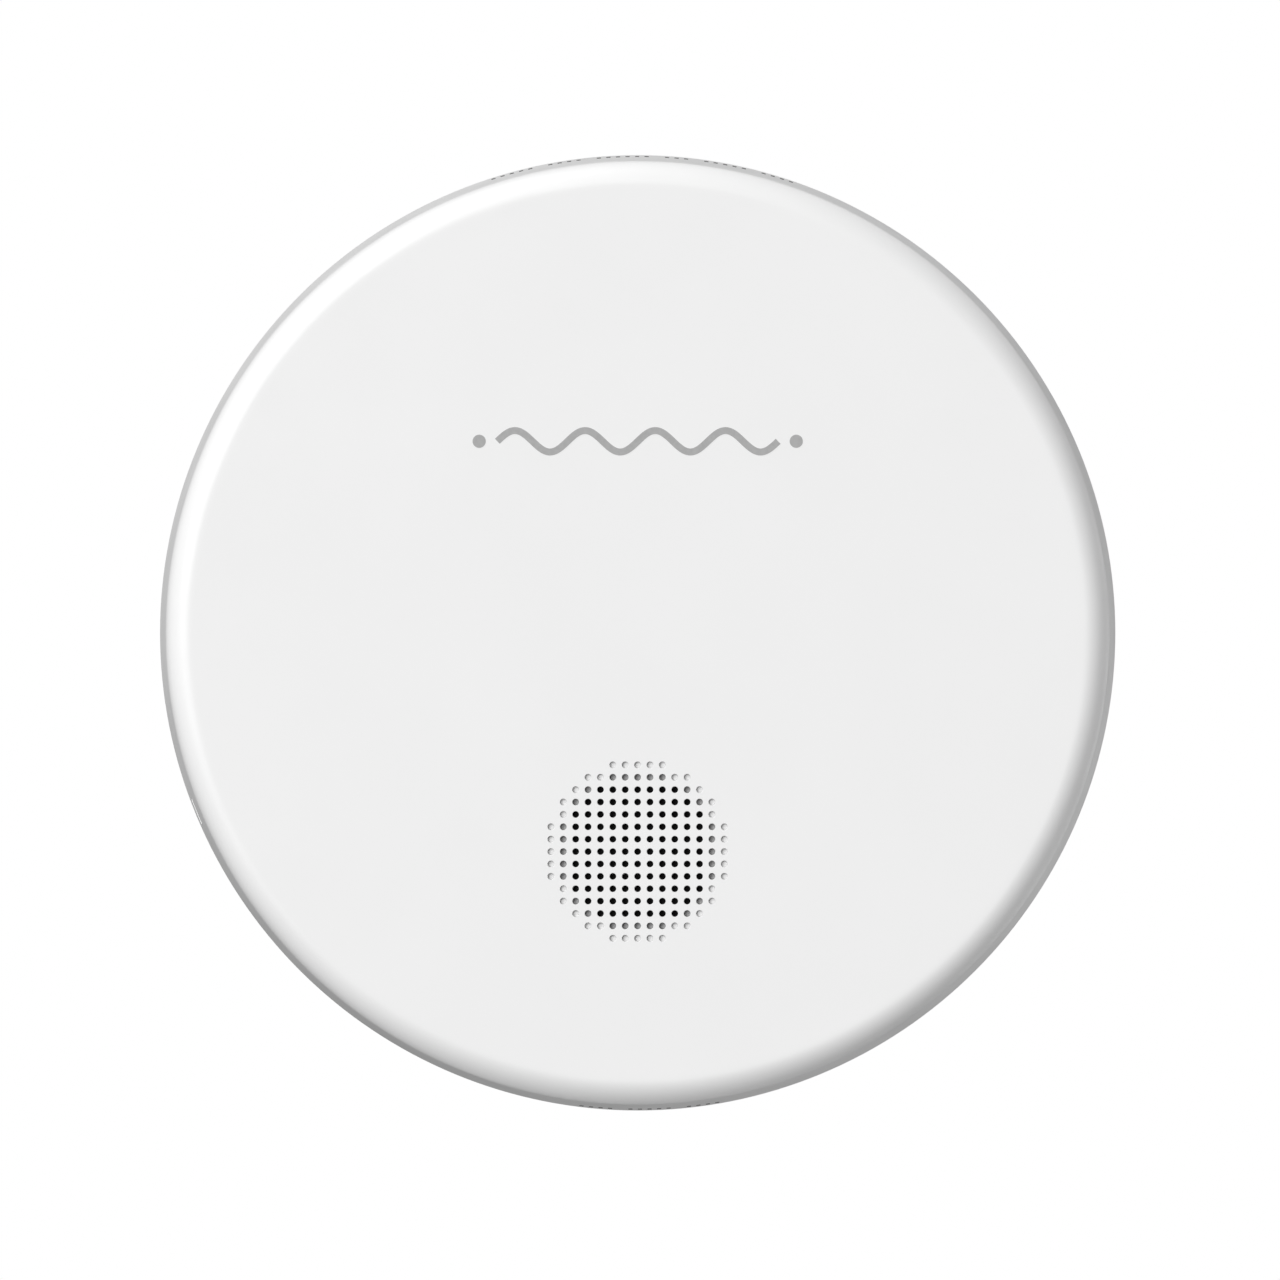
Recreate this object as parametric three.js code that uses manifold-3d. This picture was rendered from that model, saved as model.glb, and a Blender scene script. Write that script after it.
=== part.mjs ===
// A round, battery-powered carbon monoxide detector for a wall or a ceiling.
// Millimetres, +Z up. The wall is the plane y = 0 and the front looks along -Y.
// A height is a distance from the wall, so a height h lies at y = -h.
// Angles are seen from the front: 0 degrees is +X, 90 degrees is +Z.
import * as THREE from "three";
import { mergeVertices } from "three/addons/utils/BufferGeometryUtils.js";
import Module from "manifold-3d";

const wasm = await Module();
wasm.setup();

// Overall form of the front cover.
const DEPTH = 37; // wall to front face
const FACE_RADIUS = 54.24; // flat part of the front face
const EDGE_RADIUS = 3.1; // rounding between the face and the side
const DRAFT = 5; // degrees by which the side widens towards the wall
const SHELL = 2; // moulded wall thickness
const COVER_BACK = 14.7; // height of the cover's open edge

// Perforated field: holes that fade from through holes to shallow dimples.
const GRILLE_Z = -26.5;
const PITCH = 1.5;
const HOLE_RADIUS = 0.4;
const HOLE_SIDES = 6;
const FIELD_RINGS = 7; // pitches from the middle hole to the outermost row
const THROUGH_REACH = 5.9; // in pitches
const DEEP_REACH = 6.5;
const FIELD_REACH = 7.45;
const DEEP_DIMPLE = 0.85;
const SHALLOW_DIMPLE = 0.4;
const GRILLE_RECESS_RADIUS = 12.6;
const GRILLE_SKIN = 1.2; // wall left in front of the recess

// How the cover is pressed, and how it is held.
const PLUNGER_GAP = 0.3;
const LEG_ANGLES = [45, 135, 225, 315];
const LEG_INSIDE = 50.6;
const LEG_OUTSIDE = 52.1;
const LEG_WIDTH = 8;
const BARB_REACH = 53.5;
const BARB_LOW = 14.6;
const BARB_HIGH = 16.9;
const SPRING_ANGLES = [90, 210, 330];
const SPRING_CIRCLE = 44;
const SPRING_SEAT = 22;
const SPRING_RADIUS = 2.3; // to the middle of the wire
const SPRING_WIRE = 0.3;
const SPRING_TURNS = 4;

// Back housing.
const FLOOR_BACK = 7.5;
const FLOOR_FRONT = 9.5;
const COLLAR_INSIDE = 52.4;
const COLLAR_OUTSIDE = 54;
const COLLAR_TOP = 24;
const SHOULDER = 13.2;
const SKIRT_BACK = 3.2;
const SKIRT_INSIDE = 53.6;
const SKIRT_FRONT_RADIUS = 58.4;
const SKIRT_BACK_RADIUS = 56.4;
const SKIRT_EDGE = 0.5;

// Mounting plate and its bayonet.
const PLATE_RADIUS = 55.4;
const PLATE_THICKNESS = 2;
const RING_INSIDE = 47.5;
const RING_OUTSIDE = 49;
const RING_TOP = 6.4;
const LUG_ANGLES = [45, 135, 225, 315];
const LUG_HALF_ANGLE = 5;
const LUG_OUTSIDE = 52.4;
const LUG_BACK = 5;
const LUG_FRONT = 6.2;
const LIP_HALF_ANGLE = 6;
const LIP_INSIDE = 50.2;
const LIP_BACK = 3.5;
const LIP_FRONT = 4.7;
const STOP_GAP_ANGLE = 0.5;
const STOP_ANGLE = 1.7;
const STOP_INSIDE = 50.7;
const SCREW_SLOT_X = 33;
const SCREW_SLOT_RADIUS = 1.9;
const SCREW_SLOT_LENGTH = 10;

// Circuit board and what stands on it.
const BOARD_BACK = 14;
const BOARD_FRONT = 15.6;
const BOARD_RADIUS = 49.5;
const BOARD_TOP_EDGE = 20.5;
const SEAT = BOARD_FRONT + 0.05; // where a component rests on the board
const BOARD_SCREWS = [[-36, 12], [36, 12], [-22, -39], [22, -39]];
const SWITCH_Z = 4;
const SWITCH_TOP = 19.1;
const PLUNGER_TOP = 20.6;
const PLUNGER_RADIUS = 1.7;
const LED_Z = -4.8;
const LED_SPACING = 2.6;
const SENSOR_X = -28;
const SENSOR_Z = -4;
const SENSOR_PIN_CIRCLE = 6.5;
const SENSOR_PIN_ANGLES = [90, 210, 330];

// Activation switch: a pin at this radius stays in the plate's fork while the detector twists.
const FORK_X = 20;
const PIN_RADIUS = 1.2;
const PIN_TRAVEL = 4.2;

// Battery, a 17 mm lithium cell lying across the top.
const CELL_RADIUS = 8.5;
const CELL_LENGTH = 34.5;
const CELL_Z = 30;
const CELL_HEIGHT = 18.6;

// Sounder.
const SOUNDER_RADIUS = 17;
const PIEZO_RADIUS = 16;
const CERAMIC_RADIUS = 11;
const PORT_RADIUS = 9;
const NECK_RADIUS = 9.9;
const NECK_TOP = 33.4;

const ROUND = 64; // sides of a large circle
const MIDDLE = 32; // of a middling one
const SMALL = 12; // and of a small one
const radians = THREE.MathUtils.degToRad;

// ---------------------------------------------------------------- shapes

function polar(radius, degrees) {
  return [radius * Math.cos(radians(degrees)), radius * Math.sin(radians(degrees))];
}

// A solid of revolution about the Y axis, from [radius, height] points.
function turned(profile, sides = ROUND) {
  const points = profile.map(([radius, height]) => new THREE.Vector2(radius, -height));
  if (THREE.ShapeUtils.area(points) < 0) points.reverse();
  if (points[0].x > 0) points.push(points[0].clone());
  return new THREE.LatheGeometry(points, sides);
}

// A flat shape, drawn as seen from the front, standing from one height to another.
function standing(shape, low, high, curveSegments = 4) {
  const options = { depth: high - low, bevelEnabled: false, curveSegments };
  return new THREE.ExtrudeGeometry(shape, options).rotateX(Math.PI / 2).translate(0, -low, 0);
}

function rod(x, z, radius, low, high, sides = SMALL) {
  const geometry = new THREE.CylinderGeometry(radius, radius, high - low, sides);
  return geometry.translate(x, -(low + high) / 2, z);
}

function block(x, z, width, length, low, high) {
  return new THREE.BoxGeometry(width, high - low, length).translate(x, -(low + high) / 2, z);
}

// Turns a geometry anticlockwise about the detector's axis, seen from the front.
function spun(geometry, degrees) {
  return geometry.rotateY(-radians(degrees));
}

// Part of a ring, between two radii, either side of an angle.
function sector(inside, outside, degrees, halfAngle) {
  const from = radians(degrees - halfAngle);
  const to = radians(degrees + halfAngle);
  const shape = new THREE.Shape();
  shape.absarc(0, 0, outside, from, to, false);
  shape.absarc(0, 0, inside, to, from, true);
  return shape;
}

// A slot with round ends, lying along X or Z.
function slot(x, z, radius, length, alongX) {
  const reach = length / 2 - radius;
  const tilt = alongX ? 0 : Math.PI / 2;
  const [stepX, stepZ] = alongX ? [reach, 0] : [0, reach];
  const shape = new THREE.Shape();
  shape.absarc(x + stepX, z + stepZ, radius, tilt - Math.PI / 2, tilt + Math.PI / 2, false);
  shape.absarc(x - stepX, z - stepZ, radius, tilt + Math.PI / 2, tilt + Math.PI * 1.5, false);
  return shape;
}

class Helix extends THREE.Curve {
  constructor(radius, low, high, turns) {
    super();
    Object.assign(this, { radius, low, high, turns });
  }

  getPoint(t, target = new THREE.Vector3()) {
    const angle = t * this.turns * Math.PI * 2;
    const height = this.low + (this.high - this.low) * t;
    return target.set(this.radius * Math.cos(angle), -height, this.radius * Math.sin(angle));
  }
}

// ---------------------------------------------------------------- joining and cutting

function solid(geometry) {
  const bare = geometry.index ? geometry.toNonIndexed() : geometry.clone();
  bare.deleteAttribute("normal");
  bare.deleteAttribute("uv");
  const merged = mergeVertices(bare);
  const mesh = new wasm.Mesh({
    numProp: 3,
    vertProperties: merged.attributes.position.array,
    triVerts: new Uint32Array(merged.index.array),
  });
  return new wasm.Manifold(mesh);
}

function made(manifold) {
  const mesh = manifold.getMesh();
  const geometry = new THREE.BufferGeometry();
  geometry.setAttribute("position", new THREE.BufferAttribute(mesh.vertProperties, mesh.numProp));
  geometry.setIndex(new THREE.BufferAttribute(mesh.triVerts, 1));
  return geometry;
}

function joined(geometries) {
  return made(geometries.map(solid).reduce((whole, part) => whole.add(part)));
}

function cut(geometry, tools) {
  return made(tools.map(solid).reduce((whole, tool) => whole.subtract(tool), solid(geometry)));
}

// ---------------------------------------------------------------- materials

function plastic(color, roughness = 0.5) {
  return new THREE.MeshStandardMaterial({ color, roughness, metalness: 0 });
}

function metal(color, roughness = 0.35) {
  return new THREE.MeshStandardMaterial({ color, roughness, metalness: 1 });
}

const WHITE = plastic(0xeeeeee, 0.42);
const HOUSING_WHITE = plastic(0xe9e9e7, 0.5);
const BLACK = plastic(0x17181a, 0.6);
const SCREEN_BLACK = plastic(0x0b0b0c, 0.9);
const BOARD_GREEN = plastic(0x17613a, 0.4);
const CHIP_BLACK = plastic(0x1c1d20, 0.55);
const WRAP_BLUE = plastic(0x2b5d9c, 0.3);
const FOAM_GREY = plastic(0x55585c, 0.95);
const CERAMIC = plastic(0xe6dfcf, 0.45);
const LABEL = plastic(0xd8dadc, 0.4);
const CLEAR = plastic(0xe8f2f5, 0.08);
const SENSOR_GREY = plastic(0x9aa0a6, 0.45);
const STEEL = metal(0xb9bcc0);
const NICKEL = metal(0xc9c5b8, 0.25);
const BRASS = metal(0xc9a24a, 0.3);
const COPPER = metal(0xb36a3c, 0.4);

function piece(name, geometry, material) {
  const mesh = new THREE.Mesh(geometry, material);
  mesh.name = name;
  return mesh;
}

function group(x, z, ...children) {
  const holder = new THREE.Group();
  holder.position.set(x, 0, z);
  return holder.add(...children);
}

// ---------------------------------------------------------------- front cover

// Outside radius of the drafted side at a height.
function sideRadius(height) {
  const tangentHeight = DEPTH - EDGE_RADIUS + EDGE_RADIUS * Math.sin(radians(DRAFT));
  const tangentRadius = FACE_RADIUS + EDGE_RADIUS * Math.cos(radians(DRAFT));
  return tangentRadius + (tangentHeight - height) * Math.tan(radians(DRAFT));
}

function coverShell() {
  const edgeSteps = 5;
  const profile = [[0, DEPTH]];
  for (let step = 0; step <= edgeSteps; step += 1) {
    const [out, up] = polar(EDGE_RADIUS, 90 - ((90 - DRAFT) * step) / edgeSteps);
    profile.push([FACE_RADIUS + out, DEPTH - EDGE_RADIUS + up]);
  }
  const innerCorner = DEPTH - EDGE_RADIUS;
  profile.push([sideRadius(COVER_BACK), COVER_BACK]);
  profile.push([sideRadius(COVER_BACK) - SHELL, COVER_BACK]);
  profile.push([sideRadius(innerCorner) - SHELL, innerCorner]);
  profile.push([FACE_RADIUS, DEPTH - SHELL], [0, DEPTH - SHELL]);
  return turned(profile);
}

// Depth of the hole at a place in the grid, or nothing outside the round field.
function holeDepth(column, row) {
  const reach = Math.hypot(column, row);
  if (reach > FIELD_REACH) return null;
  if (reach <= THROUGH_REACH) return GRILLE_SKIN + 1;
  return reach <= DEEP_REACH ? DEEP_DIMPLE : SHALLOW_DIMPLE;
}

function grilleHoles() {
  const proud = 0.5; // how far a cutting tool stands out of the face
  const holes = [];
  for (let row = -FIELD_RINGS; row <= FIELD_RINGS; row += 1) {
    for (let column = -FIELD_RINGS; column <= FIELD_RINGS; column += 1) {
      const depth = holeDepth(column, row);
      const x = column * PITCH;
      const z = GRILLE_Z + row * PITCH;
      if (depth) holes.push(rod(x, z, HOLE_RADIUS, DEPTH - depth, DEPTH + proud, HOLE_SIDES));
    }
  }
  return holes;
}

// One snap leg: a flat strip with a barb that stands outwards at its end.
function snapLeg(degrees) {
  const middle = (LEG_INSIDE + LEG_OUTSIDE) / 2;
  const thickness = LEG_OUTSIDE - LEG_INSIDE;
  const strip = block(middle, 0, thickness, LEG_WIDTH, BARB_LOW - 0.2, DEPTH - SHELL + 0.4);
  const barb = new THREE.Shape();
  barb.moveTo(LEG_OUTSIDE - 0.3, -BARB_HIGH);
  barb.lineTo(LEG_OUTSIDE - 0.3, -BARB_LOW);
  barb.lineTo(LEG_OUTSIDE, -BARB_LOW);
  barb.lineTo(BARB_REACH, -BARB_HIGH + 0.7);
  barb.lineTo(BARB_REACH, -BARB_HIGH);
  const wedge = new THREE.ExtrudeGeometry(barb, { depth: LEG_WIDTH, bevelEnabled: false });
  return spun(joined([strip, wedge.translate(0, 0, -LEG_WIDTH / 2)]), degrees);
}

function frontCover() {
  const inner = DEPTH - SHELL;
  const bossEnd = PLUNGER_TOP + PLUNGER_GAP;
  const pins = SPRING_ANGLES.map((angle) => rod(...polar(SPRING_CIRCLE, angle), 1.4, 28, inner + 0.4));
  const boss = rod(0, SWITCH_Z, 2.2, bossEnd, inner + 0.4);
  const recess = rod(0, GRILLE_Z, GRILLE_RECESS_RADIUS, inner - 1, DEPTH - GRILLE_SKIN, MIDDLE);
  const notchHeight = 21;
  const notch = spun(block(sideRadius(notchHeight), 0, 1.5, 3.4, notchHeight - 1, notchHeight + 1), 202);
  const shell = joined([coverShell(), boss, ...pins, ...LEG_ANGLES.map(snapLeg)]);
  return cut(shell, [recess, notch, ...grilleHoles()]);
}

function dustScreen() {
  const front = DEPTH - GRILLE_SKIN - 0.1;
  return rod(0, GRILLE_Z, GRILLE_RECESS_RADIUS - 0.4, front - 0.3, front, MIDDLE);
}

function coverSpring() {
  const section = new THREE.Shape();
  const sides = 5;
  for (let side = 0; side < sides; side += 1) {
    const [x, y] = polar(SPRING_WIRE, (side * 360) / sides);
    if (side) section.lineTo(x, y);
    else section.moveTo(x, y);
  }
  const low = SPRING_SEAT + SPRING_WIRE + 0.05;
  const high = DEPTH - SHELL - SPRING_WIRE - 0.05;
  const extrudePath = new Helix(SPRING_RADIUS, low, high, SPRING_TURNS);
  return new THREE.ExtrudeGeometry(section, { steps: SPRING_TURNS * 9, extrudePath });
}

// ---------------------------------------------------------------- back housing

function housingShell() {
  return turned([
    [0, FLOOR_FRONT],
    [COLLAR_INSIDE, FLOOR_FRONT],
    [COLLAR_INSIDE, COLLAR_TOP],
    [COLLAR_OUTSIDE, COLLAR_TOP],
    [COLLAR_OUTSIDE, SHOULDER],
    [SKIRT_FRONT_RADIUS - SKIRT_EDGE, SHOULDER],
    [SKIRT_FRONT_RADIUS, SHOULDER - SKIRT_EDGE],
    [SKIRT_BACK_RADIUS, SKIRT_BACK + SKIRT_EDGE],
    [SKIRT_BACK_RADIUS - SKIRT_EDGE, SKIRT_BACK],
    [SKIRT_INSIDE, SKIRT_BACK],
    [SKIRT_INSIDE, FLOOR_BACK],
    [0, FLOOR_BACK],
  ]);
}

// A lip that hooks behind a lug of the plate, and the stop beside it.
function bayonetLip(degrees) {
  const root = SKIRT_INSIDE + 0.3;
  const stopMiddle = degrees + LUG_HALF_ANGLE + STOP_GAP_ANGLE + STOP_ANGLE / 2;
  const lip = sector(LIP_INSIDE, root, degrees, LIP_HALF_ANGLE);
  const stop = sector(STOP_INSIDE, root, stopMiddle, STOP_ANGLE / 2);
  return joined([standing(lip, LIP_BACK, LIP_FRONT), standing(stop, LIP_BACK + 0.2, FLOOR_BACK + 0.3, 1)]);
}

function springPost(degrees) {
  const [x, z] = polar(SPRING_CIRCLE, degrees);
  return joined([rod(x, z, 3.2, FLOOR_FRONT - 0.3, SPRING_SEAT), rod(x, z, 1.4, SPRING_SEAT - 1, 25)]);
}

function cellCradle() {
  const ribs = [-11, 11].map((x) => block(x, CELL_Z, 1.6, 17, FLOOR_FRONT - 0.3, 14.5));
  const room = cellShape(CELL_RADIUS + 0.2, CELL_LENGTH);
  return ribs.map((rib) => cut(rib, [room]));
}

function backHousing() {
  const bosses = BOARD_SCREWS.map(([x, z]) => rod(x, z, 3, FLOOR_FRONT - 0.3, BOARD_BACK - 0.05));
  const pilots = BOARD_SCREWS.map(([x, z]) => rod(x, z, 1.4, FLOOR_FRONT + 0.2, BOARD_BACK + 1, 8));
  const windowMiddle = (LEG_INSIDE + BARB_REACH + 2) / 2;
  const windows = LEG_ANGLES.map((angle) => {
    const opening = block(windowMiddle, 0, 6, LEG_WIDTH + 1.2, SHOULDER + 0.1, BARB_HIGH + 0.4);
    return spun(opening, angle);
  });
  const pinSlot = slot(FORK_X, -PIN_TRAVEL / 2, PIN_RADIUS + 0.3, PIN_TRAVEL + 3, false);
  const posts = SPRING_ANGLES.map(springPost);
  const whole = joined([
    housingShell(),
    ...LUG_ANGLES.map(bayonetLip),
    ...posts,
    ...bosses,
    ...cellCradle(),
  ]);
  return cut(whole, [...pilots, ...windows, standing(pinSlot, FLOOR_BACK - 1, FLOOR_FRONT + 1)]);
}

function ratingLabel() {
  return block(0, 24, 50, 20, FLOOR_BACK - 0.2, FLOOR_BACK - 0.05);
}

// ---------------------------------------------------------------- mounting plate

function mountingPlate() {
  const overlap = 0.1;
  const disc = turned([[0, 0], [PLATE_RADIUS, 0], [PLATE_RADIUS, PLATE_THICKNESS], [0, PLATE_THICKNESS]]);
  const foot = PLATE_THICKNESS - overlap;
  const ring = turned([
    [RING_INSIDE, foot],
    [RING_OUTSIDE, foot],
    [RING_OUTSIDE, RING_TOP],
    [RING_INSIDE, RING_TOP],
  ]);
  const stiffener = turned([[26, foot], [27.2, foot], [27.2, 3.4], [26, 3.4]], MIDDLE);
  const lugs = LUG_ANGLES.map((angle) => {
    const shape = sector(RING_OUTSIDE - 0.4, LUG_OUTSIDE, angle, LUG_HALF_ANGLE);
    return standing(shape, LUG_BACK, LUG_FRONT);
  });
  const tine = PIN_RADIUS + 0.25 + 0.9;
  const fork = [tine, -tine].map((z) => block(FORK_X, z, 5, 1.8, foot, FLOOR_BACK - 0.7));
  const windows = [90, 270].map((angle) => {
    return standing(sector(31, 39, angle, 28), -1, PLATE_THICKNESS + 1, 10);
  });
  const leftSlot = slot(-SCREW_SLOT_X, 0, SCREW_SLOT_RADIUS, SCREW_SLOT_LENGTH, false);
  const rightSlot = slot(SCREW_SLOT_X, 0, SCREW_SLOT_RADIUS, SCREW_SLOT_LENGTH, true);
  const slots = [leftSlot, rightSlot].map((shape) => standing(shape, -1, PLATE_THICKNESS + 1));
  return cut(joined([disc, ring, stiffener, ...lugs, ...fork]), [...windows, ...slots]);
}

// ---------------------------------------------------------------- circuit board

function circuitBoard() {
  const edge = Math.asin(BOARD_TOP_EDGE / BOARD_RADIUS);
  const shape = new THREE.Shape();
  shape.absarc(0, 0, BOARD_RADIUS, Math.PI - edge, Math.PI * 2 + edge, false);
  const blank = standing(shape, BOARD_BACK, BOARD_FRONT, 36);
  const hole = (x, z, radius) => rod(x, z, radius, BOARD_BACK - 1, BOARD_FRONT + 1);
  const screwHoles = BOARD_SCREWS.map(([x, z]) => hole(x, z, 1.5));
  const postHoles = SPRING_ANGLES.slice(1).map((angle) => hole(...polar(SPRING_CIRCLE, angle), 3.6));
  const pinHoles = SENSOR_PIN_ANGLES.map((angle) => {
    const [x, z] = polar(SENSOR_PIN_CIRCLE, angle);
    return hole(SENSOR_X + x, SENSOR_Z + z, 0.7);
  });
  return cut(blank, [...screwHoles, ...postHoles, ...pinHoles]);
}

function boardScrew() {
  const head = [[0, 17.3], [1.7, 17.3], [2.4, 16.7], [2.4, SEAT]];
  const shank = [[1.2, SEAT], [1.2, 10.8], [0, 10.2]];
  return turned([...head, ...shank], SMALL);
}

function tactSwitch() {
  const well = rod(0, 0, PLUNGER_RADIUS + 0.2, 17, SWITCH_TOP + 1);
  return cut(block(0, 0, 6, 6, SEAT, SWITCH_TOP), [well]);
}

// The body of the activation switch stands on the back of the board, around its slider.
function slideSwitch() {
  const pocket = block(0, 0, 3.6, PIN_TRAVEL + 4, 10.9, 12.9);
  const mouth = block(0, 0, 2.8, PIN_TRAVEL + 3, 9, 11.2);
  return cut(block(0, 0, 5, 11, 9.9, BOARD_BACK - 0.05), [pocket, mouth]);
}

function activationSlider() {
  return joined([block(0, 0, 3.2, 3.2, 11.1, 12.6), rod(0, 0, PIN_RADIUS, 4.2, 11.5)]);
}

function electronics() {
  const chip = (width, length, height) => block(0, 0, width, length, SEAT, SEAT + height);
  const leds = ["green", "red", "amber"].map((color, index) => {
    const shades = { green: 0x57c46b, red: 0xd0392f, amber: 0xe0a030 };
    const lamp = piece(`led_${color}`, chip(1.6, 1.2, 1), plastic(shades[color], 0.2));
    return group((index - 1) * LED_SPACING, LED_Z, lamp);
  });
  const resistors = [11, 7, 3].map((z, index) => {
    return group(-10, z, piece(`chip_resistor_${index + 1}`, chip(2, 1.25, 0.7), CHIP_BLACK));
  });
  const capacitors = [7, 11, 15].map((x, index) => {
    return group(x, 12, piece(`chip_capacitor_${index + 1}`, chip(2, 1.25, 0.9), CERAMIC));
  });
  const coil = turned([[0, SEAT], [4.5, SEAT], [4.5, 25], [2, 25], [2, 24.4], [0, 24.4]], 20);
  return [
    piece("circuit_board", circuitBoard(), BOARD_GREEN),
    group(0, SWITCH_Z, piece("tact_switch", tactSwitch(), CHIP_BLACK)),
    group(FORK_X, -PIN_TRAVEL / 2, piece("slide_switch", slideSwitch(), CHIP_BLACK)),
    group(12, 4, piece("controller_chip", chip(7, 7, 1.4), CHIP_BLACK)),
    group(14, -7, piece("driver_chip", chip(5, 4, 1.5), CHIP_BLACK)),
    group(30, -6, piece("booster_coil", coil, COPPER)),
    group(24, 8, piece("filter_capacitor", rod(0, 0, 3.2, SEAT, 24), STEEL)),
    ...BOARD_SCREWS.map(([x, z], index) => {
      return group(x, z, piece(`board_screw_${index + 1}`, boardScrew(), STEEL));
    }),
    ...leds,
    ...resistors,
    ...capacitors,
  ];
}

// ---------------------------------------------------------------- battery

function cellShape(radius, length) {
  const geometry = new THREE.CylinderGeometry(radius, radius, length, MIDDLE);
  return geometry.rotateZ(Math.PI / 2).translate(0, -CELL_HEIGHT, CELL_Z);
}

function batteryCell() {
  const end = CELL_LENGTH / 2;
  const nub = new THREE.CylinderGeometry(3, 3, 1, SMALL).rotateZ(Math.PI / 2);
  return joined([cellShape(CELL_RADIUS, CELL_LENGTH), nub.translate(end, -CELL_HEIGHT, CELL_Z)]);
}

// A welded strip that comes down from one end of the cell and lands on the board.
function batteryTab(side) {
  const face = CELL_LENGTH / 2 + (side > 0 ? 0.55 : 0.05);
  const thickness = 0.3;
  const strip = block(side * (face + thickness / 2), 24.8, thickness, 15.6, SEAT, 21.5);
  const foot = block(side * (face + 1.7), 18.2, 3.4, 2.4, SEAT, SEAT + thickness);
  return joined([strip, foot]);
}

function battery() {
  const pad = block(0, CELL_Z, 18, 8, FLOOR_FRONT + 0.05, CELL_HEIGHT - CELL_RADIUS - 0.05);
  return [
    piece("battery_cell", batteryCell(), WRAP_BLUE),
    piece("battery_tab_positive", batteryTab(1), NICKEL),
    piece("battery_tab_negative", batteryTab(-1), NICKEL),
    piece("battery_pad", pad, FOAM_GREY),
  ];
}

// ---------------------------------------------------------------- gas sensor, about its own axis

function gasSensor() {
  const cap = [[2.2, 30], [10.2, 30], [10.2, 24], [9.85, 24], [9.85, 28.05], [2.2, 28.05]];
  const pins = SENSOR_PIN_ANGLES.map((angle, index) => {
    const pin = rod(...polar(SENSOR_PIN_CIRCLE, angle), 0.5, 13.2, 16.95, 8);
    return piece(`sensor_pin_${index + 1}`, pin, NICKEL);
  });
  return group(
    SENSOR_X,
    SENSOR_Z,
    piece("sensor_body", rod(0, 0, 9.8, 17, 28, MIDDLE), SENSOR_GREY),
    piece("sensor_cap", turned(cap, MIDDLE), HOUSING_WHITE),
    piece("sensor_filter", rod(0, 0, 2.1, 28.1, 29.4), FOAM_GREY),
    ...pins,
  );
}

// ---------------------------------------------------------------- sounder, about its own axis

const CONTACT_PINS = [{ x: -6, top: 23.15 }, { x: 13, top: 23.4 }];

function sounderBase() {
  const outside = [[0, SEAT], [SOUNDER_RADIUS, SEAT], [SOUNDER_RADIUS, 24.6]];
  const inside = [[16.2, 24.6], [16.2, 23.4], [14.6, 23.4], [14.6, 17.2], [0, 17.2]];
  const cup = turned([...outside, ...inside], MIDDLE);
  return cut(cup, CONTACT_PINS.map(({ x }) => rod(x, 0, 1, SEAT - 1, 18, 8)));
}

function sounderCap() {
  const outside = [[SOUNDER_RADIUS, 24.65], [SOUNDER_RADIUS, 27.4], [NECK_RADIUS, 28.9]];
  const mouth = [[NECK_RADIUS, NECK_TOP], [PORT_RADIUS, NECK_TOP]];
  const inside = [[PORT_RADIUS, 28], [15.3, 26.2], [15.3, 23.75], [16.1, 23.75], [16.1, 24.65]];
  return turned([...outside, ...mouth, ...inside], MIDDLE);
}

// A clear ring behind the dimples, with an arm and a stem that bring the lamps' light to it.
function lightGuide() {
  const back = 31.2;
  const front = 33.6;
  const stemZ = LED_Z - GRILLE_Z;
  const ring = turned([[10.2, back], [12.4, back], [12.4, front], [10.2, front]], MIDDLE);
  const arm = block(0, (12 + stemZ) / 2, 8, stemZ - 12, back, front);
  const stem = block(0, stemZ, 8, 2.2, 17, front);
  return joined([ring, arm, stem]);
}

function sounder() {
  return group(
    0,
    GRILLE_Z,
    piece("sounder_base", sounderBase(), BLACK),
    piece("piezo_ceramic", rod(0, 0, CERAMIC_RADIUS, 23.2, 23.42, MIDDLE), CERAMIC),
    piece("piezo_disc", rod(0, 0, PIEZO_RADIUS, 23.45, 23.7, MIDDLE), BRASS),
    piece("sounder_cap", sounderCap(), BLACK),
    piece("light_guide", lightGuide(), CLEAR),
    ...CONTACT_PINS.map(({ x, top }, index) => {
      return piece(`contact_pin_${index + 1}`, rod(x, 0, 0.6, SEAT, top, 8), BRASS);
    }),
  );
}

// ---------------------------------------------------------------- the detector

const detector = new THREE.Group();
detector.add(
  piece("mounting_plate", mountingPlate(), HOUSING_WHITE),
  piece("back_housing", backHousing(), HOUSING_WHITE),
  piece("rating_label", ratingLabel(), LABEL),
  piece("front_cover", frontCover(), WHITE),
  piece("dust_screen", dustScreen(), SCREEN_BLACK),
  ...SPRING_ANGLES.map((angle, index) => {
    return group(...polar(SPRING_CIRCLE, angle), piece(`cover_spring_${index + 1}`, coverSpring(), STEEL));
  }),
  ...electronics(),
  group(0, SWITCH_Z, piece("switch_plunger", rod(0, 0, PLUNGER_RADIUS, 17.9, PLUNGER_TOP), WHITE)),
  group(FORK_X, 0, piece("activation_slider", activationSlider(), WHITE)),
  ...battery(),
  gasSensor(),
  sounder(),
);

export default detector;
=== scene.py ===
# The looks of a round, battery-powered carbon monoxide detector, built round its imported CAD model.
# Shapes are worked out in millimetres and made in metres, in the CAD frame: the wall is the plane
# y = 0, the front looks along -Y and +Z is up. A height is a distance from the wall, and angles
# are seen from the front, with 0 degrees at +X and 90 degrees at +Z.
import math

import bmesh
import bpy
from mathutils import Matrix, Vector


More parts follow.
